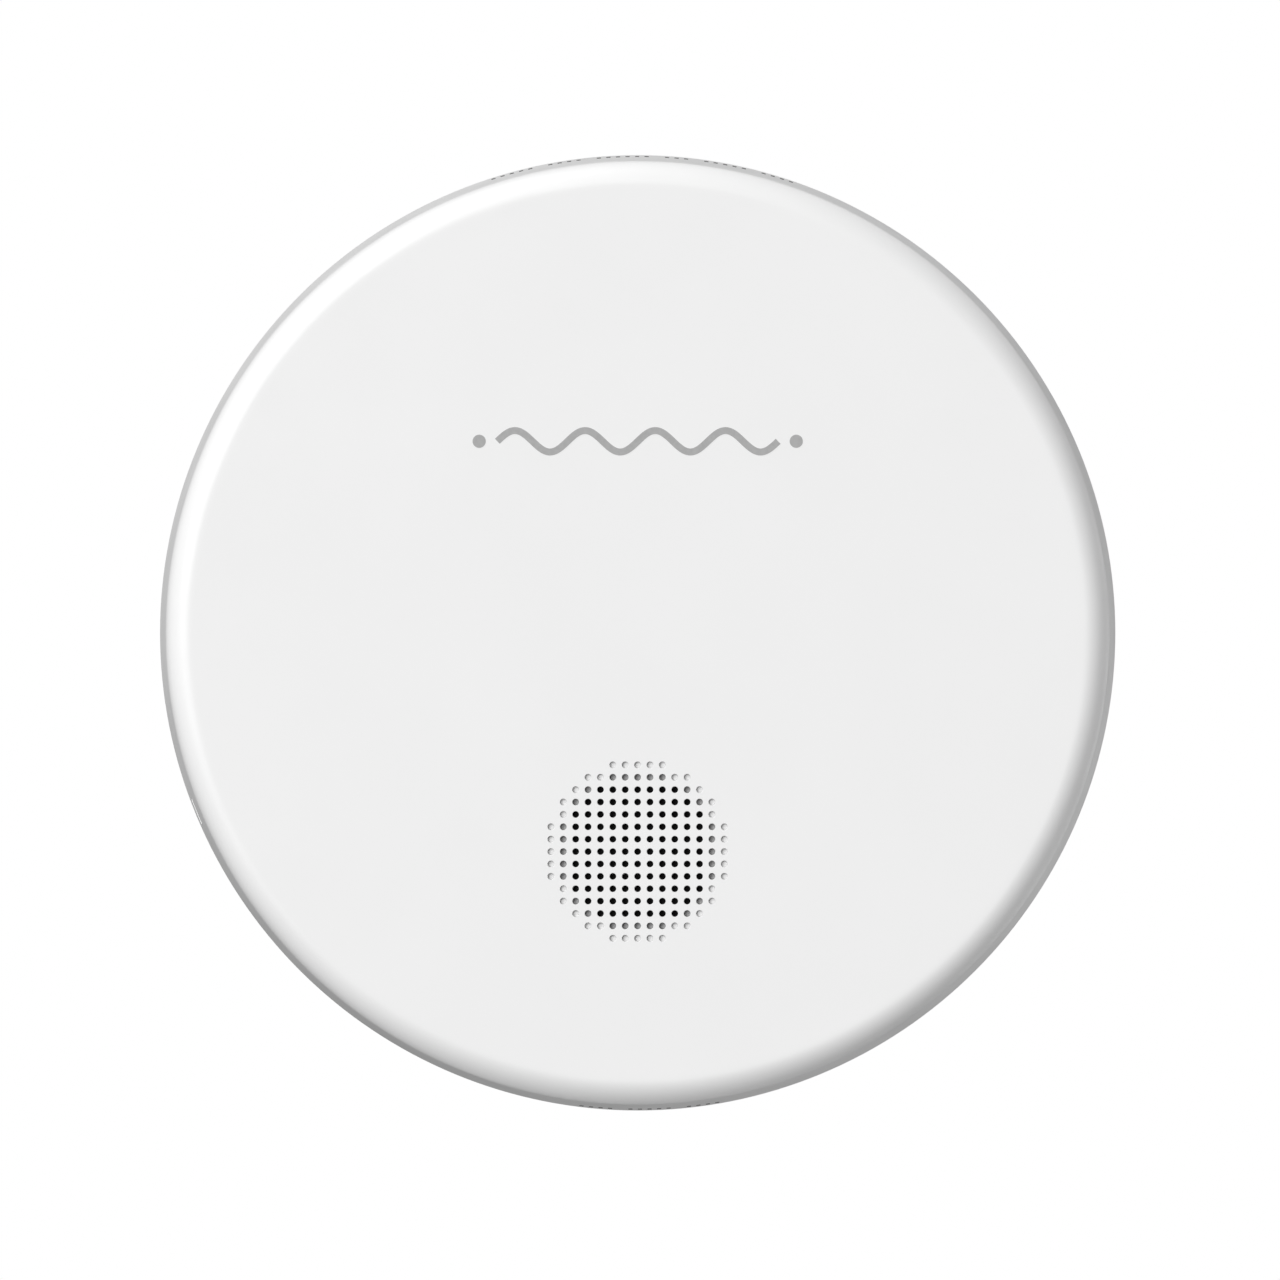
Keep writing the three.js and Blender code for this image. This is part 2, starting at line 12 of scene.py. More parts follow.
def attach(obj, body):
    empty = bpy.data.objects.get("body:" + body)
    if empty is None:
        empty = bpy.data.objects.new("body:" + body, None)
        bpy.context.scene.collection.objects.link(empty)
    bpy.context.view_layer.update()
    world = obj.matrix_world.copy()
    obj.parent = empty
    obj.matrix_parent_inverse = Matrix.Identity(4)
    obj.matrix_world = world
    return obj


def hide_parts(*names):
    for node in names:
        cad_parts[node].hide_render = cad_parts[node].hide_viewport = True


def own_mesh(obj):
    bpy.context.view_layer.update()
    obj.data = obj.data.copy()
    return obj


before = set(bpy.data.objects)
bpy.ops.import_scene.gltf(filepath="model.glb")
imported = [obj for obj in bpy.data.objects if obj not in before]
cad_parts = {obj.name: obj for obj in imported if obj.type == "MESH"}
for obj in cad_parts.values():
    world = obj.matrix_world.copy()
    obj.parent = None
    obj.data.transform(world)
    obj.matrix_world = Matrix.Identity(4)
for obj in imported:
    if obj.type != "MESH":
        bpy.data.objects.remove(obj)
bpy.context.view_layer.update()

MM = 0.001

# ---- driving dimensions, in mm

DEPTH = 37.0
FACE_RADIUS = 54.24
EDGE_RADIUS = 3.1
DRAFT = math.radians(5)
SHELL = 2.0
COVER_BACK = 14.7
COVER_INSIDE = DEPTH - SHELL

GRILLE_Z = -26.5
PITCH = 1.5
HOLE_RADIUS = 0.4
HOLE_CHAMFER = 0.04
FIELD_RINGS = 7
THROUGH_REACH = 5.9  # in pitches from the grille's centre, like the next two
DEEP_REACH = 6.5
FIELD_REACH = 7.45
DEEP_DIMPLE = 0.85
SHALLOW_DIMPLE = 0.4
RECESS_RADIUS = 12.6
GRILLE_SKIN = 1.2
MARK_Z = 23.2
NOTCH_ANGLE = 202
NOTCH_HEIGHT = 21.0
NOTCH_LENGTH = 3.4
NOTCH_DEPTH = 0.75

LEG_ANGLES = (45, 135, 225, 315)
LEG_INSIDE = 50.6
LEG_OUTSIDE = 52.1
LEG_WIDTH = 8.0
BARB_REACH = 53.5
BARB_LOW = 14.6
BARB_HIGH = 16.9
SPRING_ANGLES = (90, 210, 330)
SPRING_CIRCLE = 44.0
SPRING_SEAT = 22.0
SPRING_RADIUS = 2.3
SPRING_WIRE = 0.3
SPRING_POST = 1.4
PLUNGER_TOP = 20.6
PLUNGER_RADIUS = 1.7

FLOOR_BACK = 7.5
FLOOR_FRONT = 9.5
SKIRT_BACK = 3.2
SKIRT_INSIDE = 53.6
SHOULDER = 13.2
LUG_HALF_ANGLE = 5
LUG_BACK = 5.0
LUG_FRONT = 6.2
LUG_OUTSIDE = 52.4
PLATE_RADIUS = 55.4
PLATE_THICKNESS = 2.0
RING_INSIDE = 47.5
RING_OUTSIDE = 49.0
RING_TOP = 6.4
SCREW_SLOT_X = 33.0

BOARD_BACK = 14.0
BOARD_FRONT = 15.6
BOARD_RADIUS = 49.5
BOARD_TOP_EDGE = 20.5
BOARD_SCREWS = ((-36, 12), (36, 12), (-22, -39), (22, -39))
SWITCH_Z = 4.0
SWITCH_TOP = 19.1
LAMP_Z = -4.8
LAMP_SPACING = 2.6
SENSOR_X = -28.0
SENSOR_Z = -4.0
SENSOR_PIN_CIRCLE = 6.5
FORK_X = 20.0
PIN_RADIUS = 1.2
PIN_TRAVEL = 4.2

CELL_RADIUS = 8.5
CELL_LENGTH = 34.5
CELL_Z = 30.0
CELL_HEIGHT = 18.6
SOUNDER_RADIUS = 17.0
SOUNDER_CONTACTS = ((-6, 23.15), (13, 23.4))  # each x, and the height of its tip

GAP = 0.05  # clearance between neighbouring pieces
SEAT = BOARD_FRONT + GAP
ROOT = 0.3  # how far a post or rib is sunk into the wall it grows from
COVER_ROOT = COVER_INSIDE + 0.4

ROUND = 256  # sides of the outer shells
MIDDLE = 96
SMALL = 32


# ---- mesh toolkit

def at(x, z, height):
    """A place in the CAD frame, in metres."""
    return Vector((x, -height, z)) * MM


def polar(radius, degrees):
    angle = math.radians(degrees)
    return radius * math.cos(angle), radius * math.sin(angle)


def around(x, z, radius, angles):
    """Places on a circle about a place."""
    return [(x + px, z + pz) for px, pz in (polar(radius, angle) for angle in angles)]


def rounded(corners, steps):
    """A closed outline of (x, y, radius) corners, with an arc in so many steps at each corner."""
    made = []
    for index, (x, y, radius) in enumerate(corners):
        corner = Vector((x, y))
        if radius == 0:
            made.append((x, y))
            continue
        before = (Vector(corners[index - 1][:2]) - corner).normalized()
        after = (Vector(corners[(index + 1) % len(corners)][:2]) - corner).normalized()
        half = before.angle(after) / 2
        centre = corner + (before + after).normalized() * radius / math.sin(half)
        start = corner + before * radius / math.tan(half) - centre
        end = corner + after * radius / math.tan(half) - centre
        first = math.atan2(start.y, start.x)
        sweep = (math.atan2(end.y, end.x) - first + math.pi) % (2 * math.pi) - math.pi
        for step in range(steps + 1):
            angle = first + sweep * step / steps
            made.append((centre.x + radius * math.cos(angle), centre.y + radius * math.sin(angle)))
    return made


def placed(name, data):
    """A new object in the scene that shows a mesh, a light or a camera."""
    made = bpy.data.objects.new(name, data)
    bpy.context.scene.collection.objects.link(made)
    return made


def mesh_of(form):
    """Turns a bmesh whose faces may point either way into a mesh whose faces point outwards."""
    bmesh.ops.recalc_face_normals(form, faces=form.faces)
    mesh = bpy.data.meshes.new("form")
    form.to_mesh(mesh)
    form.free()
    return mesh


def soften(form, width, segments):
    """Rounds every edge of a form that turns by more than 30 degrees."""
    bmesh.ops.recalc_face_normals(form, faces=form.faces)
    least = math.radians(30)
    edges = [e for e in form.edges if len(e.link_faces) == 2 and e.calc_face_angle() > least]
    bmesh.ops.bevel(
        form, geom=edges, offset=width * MM, offset_type="OFFSET", segments=segments,
        profile=0.5, affect="EDGES", clamp_overlap=True,
    )


def bridge(form, near, far):
    """Adds four-sided faces between two closed rings of points."""
    for index in range(len(near)):
        after = (index + 1) % len(near)
        form.faces.new((near[index], near[after], far[after], far[index]))


def turned(profile, sides=MIDDLE, x=0.0, z=0.0):
    """A solid of revolution from (radius, height) points. An end on the axis becomes a flat cap."""
    form = bmesh.new()
    on_axis = profile[0][0] < 1e-6
    rings = []
    angles = [360 * side / sides for side in range(sides)]
    for radius, height in profile:
        if radius > 1e-6:
            places = around(x, z, radius, angles)
            rings.append([form.verts.new(at(*place, height)) for place in places])
    pairs = list(zip(rings, rings[1:]))
    if on_axis:
        form.faces.new(rings[0])
        form.faces.new(rings[-1])
    else:
        pairs.append((rings[-1], rings[0]))
    for near, far in pairs:
        bridge(form, near, far)
    return mesh_of(form)


def lathe(corners, steps=4, sides=MIDDLE, x=0.0, z=0.0):
    """A solid of revolution from (radius, height, rounding) corners."""
    return turned(rounded(corners, steps), sides, x, z)


def rod(x, z, radius, low, high, sides=SMALL, soft=0.0):
    corners = [(0, high, 0), (radius, high, soft), (radius, low, soft), (0, low, 0)]
    return lathe(corners, 3, sides, x, z)


def hoop(inside, outside, low, high, low_soft=0, high_soft=0, sides=MIDDLE, x=0.0, z=0.0):
    """A ring of rectangular section, with the corners at either height rounded."""
    corners = [(inside, low, low_soft), (outside, low, low_soft)]
    corners += [(outside, high, high_soft), (inside, high, high_soft)]
    return lathe(corners, 4, sides, x, z)


def slab(near, far, soft, segments=2):
    """A solid between two matching outlines of places, with its edges rounded by a soft width."""
    form = bmesh.new()
    ends = [[form.verts.new(place) for place in outline] for outline in (near, far)]
    for end in ends:
        form.faces.new(end)
    bridge(form, *ends)
    if soft:
        soften(form, soft, segments)
    return mesh_of(form)


def prism(outline, low, high, soft=0.0, segments=2):
    """An outline of (x, z) points, seen from the front, standing from one height to another."""
    back = [at(x, z, low) for x, z in outline]
    front = [at(x, z, high) for x, z in outline]
    return slab(back, front, soft, segments)


def block(x, z, width, length, low, high, soft=0.0, segments=2):
    xs = (x - width / 2, x + width / 2)
    zs = (z - length / 2, z + length / 2)
    outline = [(xs[0], zs[0]), (xs[1], zs[0]), (xs[1], zs[1]), (xs[0], zs[1])]
    return prism(outline, low, high, soft, segments)


def sector(inside, outside, degrees, half_angle, steps=8):
    """Part of a ring, as an outline, either side of an angle."""
    angles = [degrees + half_angle * (2 * step / steps - 1) for step in range(steps + 1)]
    return [polar(outside, a) for a in angles] + [polar(inside, a) for a in reversed(angles)]


def slot(x, z, radius, length, along_x):
    """A slot with round ends, as an outline."""
    steps = 12
    reach = length / 2 - radius
    tilt = 0 if along_x else 90
    outline = []
    for side in (1, -1):
        step_x, step_z = (side * reach, 0) if along_x else (0, side * reach)
        for step in range(steps + 1):
            px, pz = polar(radius, tilt + (0 if side == 1 else 180) - 90 + 180 * step / steps)
            outline.append((x + step_x + px, z + step_z + pz))
    return outline


def ribbon(points, width):
    """The outline of a band of even width along a line of (x, z) points, with mitred corners."""
    places = [Vector(point) for point in points]
    ways = [(after - before).normalized() for before, after in zip(places, places[1:])]
    upper = []
    lower = []
    for place, way_in, way_out in zip(places, ways[:1] + ways, ways + ways[-1:]):
        across = (way_in + way_out).orthogonal().normalized()
        offset = across * width / 2 / across.dot(way_in.orthogonal())
        upper.append(tuple(place + offset))
        lower.append(tuple(place - offset))
    return upper + lower[::-1]


def spun(mesh, degrees):
    """Turns a mesh anticlockwise about the detector's axis, seen from the front."""
    mesh.transform(Matrix.Rotation(-math.radians(degrees), 4, "Y"))
    return mesh


def laid_along_x(mesh, z, height):
    """Lays a form turned about the detector's axis along X instead, round a point."""
    mesh.transform(Matrix.Translation(at(0, z, height)) @ Matrix.Rotation(math.radians(90), 4, "Z"))
    return mesh


def together(meshes):
    """Several separate meshes as one."""
    form = bmesh.new()
    for mesh in meshes:
        form.from_mesh(mesh)
    merged = bpy.data.meshes.new("form")
    form.to_mesh(merged)
    form.free()
    return merged


def boolean(base, tools, operation):
    body = placed("body", base)
    helpers = [body]
    for tool in tools:
        helper = placed("tool", tool)
        helpers.append(helper)
        modifier = body.modifiers.new("boolean", "BOOLEAN")
        modifier.operation = operation
        modifier.solver = "MANIFOLD"
        modifier.object = helper
    graph = bpy.context.evaluated_depsgraph_get()
    made = bpy.data.meshes.new_from_object(body.evaluated_get(graph))
    for helper in helpers:
        bpy.data.objects.remove(helper)
    return made


def joined(base, *tools):
    return boolean(base, tools, "UNION")


def cut(base, *tools):
    return boolean(base, tools, "DIFFERENCE")


def strip(outline, width, degrees, soft=0.0):
    """An outline of (radius, height) points, given a width across and turned to an angle."""
    near = [at(radius, -width / 2, height) for radius, height in outline]
    far = [at(radius, width / 2, height) for radius, height in outline]
    return spun(slab(near, far, soft), degrees)


def tube(points, radius):
    """A round wire of a radius in mm along a line of places, whose sides don't twist on the way."""
    sides = 10
    form = bmesh.new()
    rings = []
    side_way = None
    for index, point in enumerate(points):
        ahead = points[min(index + 1, len(points) - 1)] - points[max(index - 1, 0)]
        ahead.normalize()
        guess = side_way if side_way is not None else ahead.orthogonal()
        side_way = (guess - ahead * guess.dot(ahead)).normalized()
        other = ahead.cross(side_way)
        ring = []
        for side in range(sides):
            angle = 2 * math.pi * side / sides
            offset = (side_way * math.cos(angle) + other * math.sin(angle)) * radius * MM
            ring.append(form.verts.new(point + offset))
        rings.append(ring)
    for near, far in zip(rings, rings[1:]):
        bridge(form, near, far)
    form.faces.new(rings[0])
    form.faces.new(rings[-1])
    return mesh_of(form)


def piece(name, body, parts, replaces=()):
    """One object of (mesh, look) parts that rides on a body and stands for the CAD nodes it replaces."""
    form = bmesh.new()
    looks = []
    for mesh, look in parts:
        if look not in looks:
            looks.append(look)
        first = len(form.faces)
        form.from_mesh(mesh)
        form.faces.ensure_lookup_table()
        for face in form.faces[first:]:
            face.material_index = looks.index(look)
            face.smooth = True
    whole = bpy.data.meshes.new(name)
    form.to_mesh(whole)
    form.free()
    for look in looks:
        whole.materials.append(look)
    whole.set_sharp_from_angle(angle=math.radians(35))
    made = placed(name, whole)
    weighted = made.modifiers.new("weighted_normals", "WEIGHTED_NORMAL")
    weighted.keep_sharp = True
    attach(made, body)
    if replaces:
        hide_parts(*replaces)
    return made


# ---- materials

class Look:
    """A material built node by node round one Principled shader."""

    def __init__(self, name, **sockets):
        self.material = bpy.data.materials.new(name)
        self.material.use_nodes = True
        self.nodes = self.material.node_tree.nodes
        self.links = self.material.node_tree.links
        self.shader = self.nodes["Principled BSDF"]
        for socket, value in sockets.items():
            self.shader.inputs[socket.replace("_", " ").title().replace("Ior", "IOR")].default_value = value
        self.coordinates = self.node("ShaderNodeTexCoord")
        self.place = self.coordinates.outputs["Object"]

    def plug(self, socket, value):
        """Links what another node gives to a socket, or sets a plain value on it."""
        if isinstance(value, bpy.types.NodeSocket):
            self.links.new(value, socket)
        else:
            socket.default_value = value

    def node(self, kind, settings=None, **inputs):
        made = self.nodes.new(kind)
        for key, value in (settings or {}).items():
            setattr(made, key, value)
        for key, value in inputs.items():
            self.plug(made.inputs[key.replace("_", " ")], value)
        return made

    def noise(self, size, detail, roughness=0.5, vector=None):
        """Noise whose lumps are about the given size in millimetres, from 0 to 1."""
        made = self.node(
            "ShaderNodeTexNoise", Vector=vector or self.place, Scale=1 / (size * MM), Detail=detail,
            Roughness=roughness,
        )
        return made.outputs["Fac"]

    def ranged(self, value, low, high, from_low=0.3, from_high=0.7):
        """Stretches a value's range to another. Most of a noise lies between 0.3 and 0.7."""
        limits = {"From_Min": from_low, "From_Max": from_high, "To_Min": low, "To_Max": high}
        return self.node("ShaderNodeMapRange", Value=value, **limits).outputs["Result"]

    def mixed(self, share, first, second):
        made = self.node("ShaderNodeMix", {"data_type": "RGBA"})
        for index, value in ((0, share), (6, first), (7, second)):
            self.plug(made.inputs[index], value)
        return made.outputs[2]

    def maths(self, operation, first, second):
        made = self.node("ShaderNodeMath", {"operation": operation})
        for socket, value in zip(made.inputs, (first, second)):
            self.plug(socket, value)
        return made.outputs[0]

    def product(self, first, second):
        return self.maths("MULTIPLY", first, second)

    def mottled(self, size, dark, light, detail=3):
        """Two colours in soft patches of about the given size in millimetres."""
        return self.mixed(self.ranged(self.noise(size, detail), 0, 1), dark, light)

    def edges(self):
        """1 on the outer edges of a shape, 0 elsewhere."""
        made = self.node("ShaderNodeNewGeometry")
        return self.ranged(made.outputs["Pointiness"], 0, 1, 0.56, 0.7)

    def bump(self, height, depth, **under):
        """Relief of a depth in millimetres, laid over any other relief given as its Normal."""
        return self.node("ShaderNodeBump", Height=height, Distance=depth * MM, **under).outputs["Normal"]

    def feed(self, socket, value):
        self.links.new(value, self.shader.inputs[socket])


def tone(red, green=None, blue=None):
    return (red, red if green is None else green, red if blue is None else blue, 1.0)


def grille_painted_shade(look, unshaded):
    """Painted shade: greys the walls and floors of the grille's small holes, darker on the deeper floors.
    """
    height = look.node("ShaderNodeSeparateXYZ", Vector=look.place).outputs["Y"]

    def sunk(shallow, deep):
        """Goes from 0 to 1 between two depths below the face."""
        return look.ranged(height, 0, 1, -(DEPTH - shallow) * MM, -(DEPTH - deep) * MM)

    about_axis = look.node(
        "ShaderNodeMapping", Vector=look.place, Location=(0, 0, -GRILLE_Z * MM), Scale=(1, 0, 1),
    )
    reach = look.node("ShaderNodeVectorMath", {"operation": "LENGTH"}, Vector=about_axis.outputs[0])
    field_edge = (FIELD_REACH + 1) * PITCH
    in_field = look.ranged(reach.outputs["Value"], 1, 0, (field_edge - 0.1) * MM, field_edge * MM)
    facing = look.node("ShaderNodeSeparateXYZ", Vector=look.coordinates.outputs["Normal"]).outputs["Y"]
    upright = look.ranged(look.maths("ABSOLUTE", facing, 0), 1, 0, 0.2, 0.95)
    # Painted shade: hole walls go to a mid grey and the floors, more the deeper they are sunk, to a darker
    # grey, in place of the shade inside the holes.
    wall_shade = look.product(in_field, look.product(sunk(0.03, 0.1), upright))
    floor_shade = look.product(in_field, sunk(0.3, GRILLE_SKIN))
    return look.mixed(floor_shade, look.mixed(wall_shade, unshaded, tone(0.4)), tone(0.2))


def shaded(colour, share):
    """A colour at a share of its brightness."""
    return tone(*(channel * share for channel in colour[:3]))


def moulded(
    name, colour, roughness, grain=0.25, depth=0.004, shade=0.03, rubbed=True, painted_shade=None, **sockets
):
    """Moulded plastic: fine eroded grain, faint mottling, and edges that may be rubbed smoother."""
    look = Look(name, **sockets)
    body = look.mottled(18, shaded(colour, 1 - shade), colour)
    # A painted_shade function, when given, paints shade over the base colour.
    look.feed("Base Color", painted_shade(look, body) if painted_shade else body)
    cloud = look.ranged(look.noise(7, 4), roughness - 0.05, roughness + 0.05)
    if rubbed:
        cloud = look.maths("SUBTRACT", cloud, look.product(look.edges(), 0.1))
    look.feed("Roughness", cloud)
    broad = look.bump(look.noise(9, 1), depth * 2)
    look.feed("Normal", look.bump(look.noise(grain, 2, 0.6), depth, Normal=broad))
    return look.material


def metallic(name, colour, roughness, brushed=(1, 1, 1), depth=0.0015):
    """Bare metal with smudges and fine marks, drawn out into lines where it's brushed."""
    look = Look(name, metallic=1.0)
    smudge = look.noise(4, 4)
    stretched = look.node("ShaderNodeMapping", Vector=look.place, Scale=brushed).outputs["Vector"]
    lines = look.noise(0.35, 3, 0.6, stretched)
    look.feed("Base Color", look.mixed(look.ranged(smudge, 0, 1), shaded(colour, 0.88), colour))
    spread = look.ranged(lines, -0.04, 0.05)
    worn = look.ranged(smudge, roughness - 0.05, roughness + 0.08)
    look.feed("Roughness", look.maths("ADD", worn, spread))
    look.feed("Normal", look.bump(lines, depth))
    return look.material


def weave(look, pitch):
    """The over and under of a plain-woven cloth, from 0 to 1, with threads a pitch apart in mm."""
    scale = math.pi / (10 * pitch * MM)
    waves = []
    for axis in ("X", "Z"):
        settings = {"wave_type": "BANDS", "bands_direction": axis}
        wave = look.node("ShaderNodeTexWave", settings, Vector=look.place, Scale=scale)
        waves.append(wave.outputs["Fac"])
    return look.product(*waves)


def woven(name, colour, pitch):
    """A fine plain-weave screen."""
    look = Look(name, roughness=0.85)
    threads = weave(look, pitch)
    look.feed("Base Color", look.mixed(threads, shaded(colour, 0.3), colour))
    look.feed("Normal", look.bump(threads, 0.04))
    return look.material


def solder_mask(name, dark, light):
    """Glossy solder mask that shows the weave of the glass cloth beneath it a little."""
    look = Look(name, coat_weight=0.4, coat_roughness=0.15)
    look.feed("Base Color", look.mottled(6, dark, light))
    look.feed("Roughness", look.ranged(look.noise(3, 3), 0.3, 0.45))
    look.feed("Normal", look.bump(weave(look, 0.6), 0.012, Normal=look.bump(look.noise(2, 2), 0.01)))
    return look.material


def speckled(name, colour, other, size, roughness, depth, **sockets):
    """A grainy surface of two tones, such as foam or fired ceramic."""
    look = Look(name, **sockets)
    cells = look.node("ShaderNodeTexVoronoi", Vector=look.place, Scale=1 / (size * MM)).outputs["Distance"]
    look.feed("Base Color", look.mottled(size * 2, colour, other, 4))
    look.feed("Roughness", look.ranged(look.noise(size * 5, 3), roughness - 0.06, roughness + 0.06))
    look.feed("Normal", look.bump(cells, depth))
    return look.material


def clear_plastic(name, colour):
    look = Look(name, transmission_weight=1.0, ior=1.49)
    look.shader.inputs["Base Color"].default_value = colour
    look.feed("Roughness", look.ranged(look.noise(3, 3), 0.03, 0.1))
    look.feed("Normal", look.bump(look.noise(1.2, 2), 0.002))
    return look.material


def tinted_lens(name, colour):
    look = Look(name, coat_weight=0.5, subsurface_weight=0.15, subsurface_scale=0.001)
    look.feed("Base Color", look.mottled(0.5, shaded(colour, 0.6), colour, 2))
    look.feed("Roughness", look.ranged(look.noise(0.4, 2), 0.15, 0.3))
    return look.material


def print_ink(name, dark, light):
    """Matt grey pad-printing ink, with a slightly uneven film."""
    look = Look(name)
    look.feed("Base Color", look.mottled(0.4, tone(dark), tone(light)))
    look.feed("Roughness", look.ranged(look.noise(0.8, 3), 0.5, 0.65))
    look.feed("Normal", look.bump(look.noise(0.15, 2), 0.003))
    return look.material


# The cover's white has painted shade in the grille's holes.
COVER_WHITE = moulded(
    "cover_white", tone(0.8), 0.42, depth=0.0015, shade=0.012, rubbed=False, painted_shade=grille_painted_shade,
)
HOUSING_WHITE = moulded("housing_white", tone(0.76, 0.76, 0.75), 0.5, grain=0.4, depth=0.01)
INNER_WHITE = moulded("inner_white", tone(0.66, 0.66, 0.64), 0.4, grain=0.4)
BLACK_PLASTIC = moulded("black_plastic", tone(0.012), 0.5, grain=0.3, depth=0.012, shade=0.2)
CHIP_RESIN = moulded("chip_resin", tone(0.014, 0.014, 0.016), 0.55, grain=0.12, depth=0.01, shade=0.25)
SENSOR_SHELL = moulded("sensor_shell", tone(0.3, 0.33, 0.36), 0.45, grain=0.3)
SLEEVE_BLUE = moulded("sleeve_blue", tone(0.02, 0.11, 0.32), 0.28, grain=2.5, depth=0.03, coat_weight=0.3)
LABEL_FILM = moulded("label_film", tone(0.7, 0.71, 0.72), 0.35, grain=1.5)
SCREEN_CLOTH = woven("screen_cloth", tone(0.01), 0.12)
BOARD_MASK = solder_mask("board_mask", tone(0.006, 0.075, 0.03), tone(0.01, 0.11, 0.045))
TRACK_MASK = solder_mask("track_mask", tone(0.02, 0.16, 0.06), tone(0.03, 0.21, 0.08))
CERAMIC = speckled("ceramic", tone(0.62, 0.57, 0.47), tone(0.72, 0.68, 0.58), 0.5, 0.5, 0.01)
FOAM = speckled("foam", tone(0.05), tone(0.09), 0.5, 0.9, 0.15, sheen_weight=0.2)
STEEL = metallic("steel", tone(0.55, 0.56, 0.58), 0.3, (1, 6, 1))
NICKEL = metallic("nickel", tone(0.62, 0.58, 0.5), 0.28, (6, 1, 1))
BRASS = metallic("brass", tone(0.65, 0.44, 0.13), 0.3, (5, 1, 1))
COPPER = metallic("copper_wire", tone(0.55, 0.2, 0.08), 0.35)
SOLDER = metallic("solder", tone(0.6, 0.6, 0.62), 0.25, depth=0.004)
ACRYLIC = clear_plastic("clear_acrylic", tone(0.93, 0.97, 0.98))
FACE_INK = print_ink("face_ink", 0.335, 0.375)
SIDE_INK = print_ink("side_ink", 0.05, 0.07)
LENSES = {
    "green": tinted_lens("lens_green", tone(0.1, 0.6, 0.15)),
    "red": tinted_lens("lens_red", tone(0.6, 0.05, 0.03)),
    "amber": tinted_lens("lens_amber", tone(0.75, 0.35, 0.04)),
}


# ---- front cover

def side_radius(height):
    """Outside radius of the drafted side at a height."""
    tangent_height = DEPTH - EDGE_RADIUS + EDGE_RADIUS * math.sin(DRAFT)
    tangent_radius = FACE_RADIUS + EDGE_RADIUS * math.cos(DRAFT)
    return tangent_radius + (tangent_height - height) * math.tan(DRAFT)


def cover_shell():
    back = side_radius(COVER_BACK)
    corner = side_radius(COVER_INSIDE) - SHELL
    return lathe([
        (0, DEPTH, 0),
        (FACE_RADIUS - 4, DEPTH, 0),
        (FACE_RADIUS - 0.5, DEPTH, 0),
        (side_radius(DEPTH), DEPTH, EDGE_RADIUS),
        (side_radius(COVER_BACK + 6), COVER_BACK + 6, 0),
        (back, COVER_BACK, 0.35),
        (back - SHELL, COVER_BACK, 0.35),
        (corner, COVER_INSIDE, EDGE_RADIUS - SHELL),
        (0, COVER_INSIDE, 0),
    ], 14, ROUND)


def hole_depth(column, row):
    """Depth of the hole at a place in the grid, or nothing outside the round field."""
    reach = math.hypot(column, row)
    if reach > FIELD_REACH:
        return None
    if reach <= THROUGH_REACH:
        return GRILLE_SKIN + 1
    return DEEP_DIMPLE if reach <= DEEP_REACH else SHALLOW_DIMPLE


def hole_tool(x, z, depth):
    """A round cutter whose mouth opens at 45 degrees, so that the hole's rim isn't a knife edge."""
    proud = 0.3
    floor_edge = 0.08
    bottom = DEPTH - depth
    outline = [
        (0, DEPTH + proud),
        (HOLE_RADIUS + HOLE_CHAMFER + proud, DEPTH + proud),
        (HOLE_RADIUS, DEPTH - HOLE_CHAMFER),
        (HOLE_RADIUS, bottom + floor_edge),
        (HOLE_RADIUS - floor_edge, bottom),
        (0, bottom),
    ]
    return turned(outline, 20, x, z)


def grille_tools():
    tools = []
    for row in range(-FIELD_RINGS, FIELD_RINGS + 1):
        for column in range(-FIELD_RINGS, FIELD_RINGS + 1):
            depth = hole_depth(column, row)
            if depth:
                tools.append(hole_tool(column * PITCH, GRILLE_Z + row * PITCH, depth))
    return together(tools)


def snap_leg(degrees):
    outline = [
        (LEG_INSIDE, COVER_ROOT),
        (LEG_OUTSIDE, COVER_ROOT),
        (LEG_OUTSIDE, BARB_HIGH),
        (BARB_REACH, BARB_HIGH),
        (BARB_REACH, BARB_HIGH - 0.7),
        (LEG_OUTSIDE, BARB_LOW),
        (LEG_OUTSIDE - 0.3, BARB_LOW - 0.2),
        (LEG_INSIDE, BARB_LOW - 0.2),
    ]
    return strip(outline, LEG_WIDTH, degrees, 0.12)


def front_cover():
    places = [polar(SPRING_CIRCLE, angle) for angle in SPRING_ANGLES]
    pins = [rod(*place, SPRING_POST, 28, COVER_ROOT, soft=0.4) for place in places]
    boss = rod(0, SWITCH_Z, 2.2, PLUNGER_TOP + 0.3, COVER_ROOT, soft=0.3)
    recess = rod(0, GRILLE_Z, RECESS_RADIUS, COVER_INSIDE - 1, DEPTH - GRILLE_SKIN, MIDDLE)
    notch_outline = slot(side_radius(NOTCH_HEIGHT), 0, NOTCH_DEPTH, NOTCH_LENGTH, False)
    notch = spun(prism(notch_outline, NOTCH_HEIGHT - 1, NOTCH_HEIGHT + 1, 0.2), NOTCH_ANGLE)
    shell = joined(cover_shell(), boss, *pins, *(snap_leg(angle) for angle in LEG_ANGLES))
    return cut(shell, recess, notch, grille_tools())


def face_mark():
    """A plain printed mark of the builder's own: a row of flat waves between two dots."""
    half_length = 17.0
    wave_height = 1.3
    waves = 4
    steps = 160
    low = DEPTH - 0.01
    high = DEPTH + 0.02
    line = []
    for step in range(steps + 1):
        share = step / steps
        x = half_length * (2 * share - 1)
        line.append((x, MARK_Z + wave_height * math.sin(2 * math.pi * waves * share)))
    dots = [rod(side * (half_length + 2.2), MARK_Z, 0.8, low, high) for side in (-1, 1)]
    return together([prism(ribbon(line, 0.84), low, high), *dots])


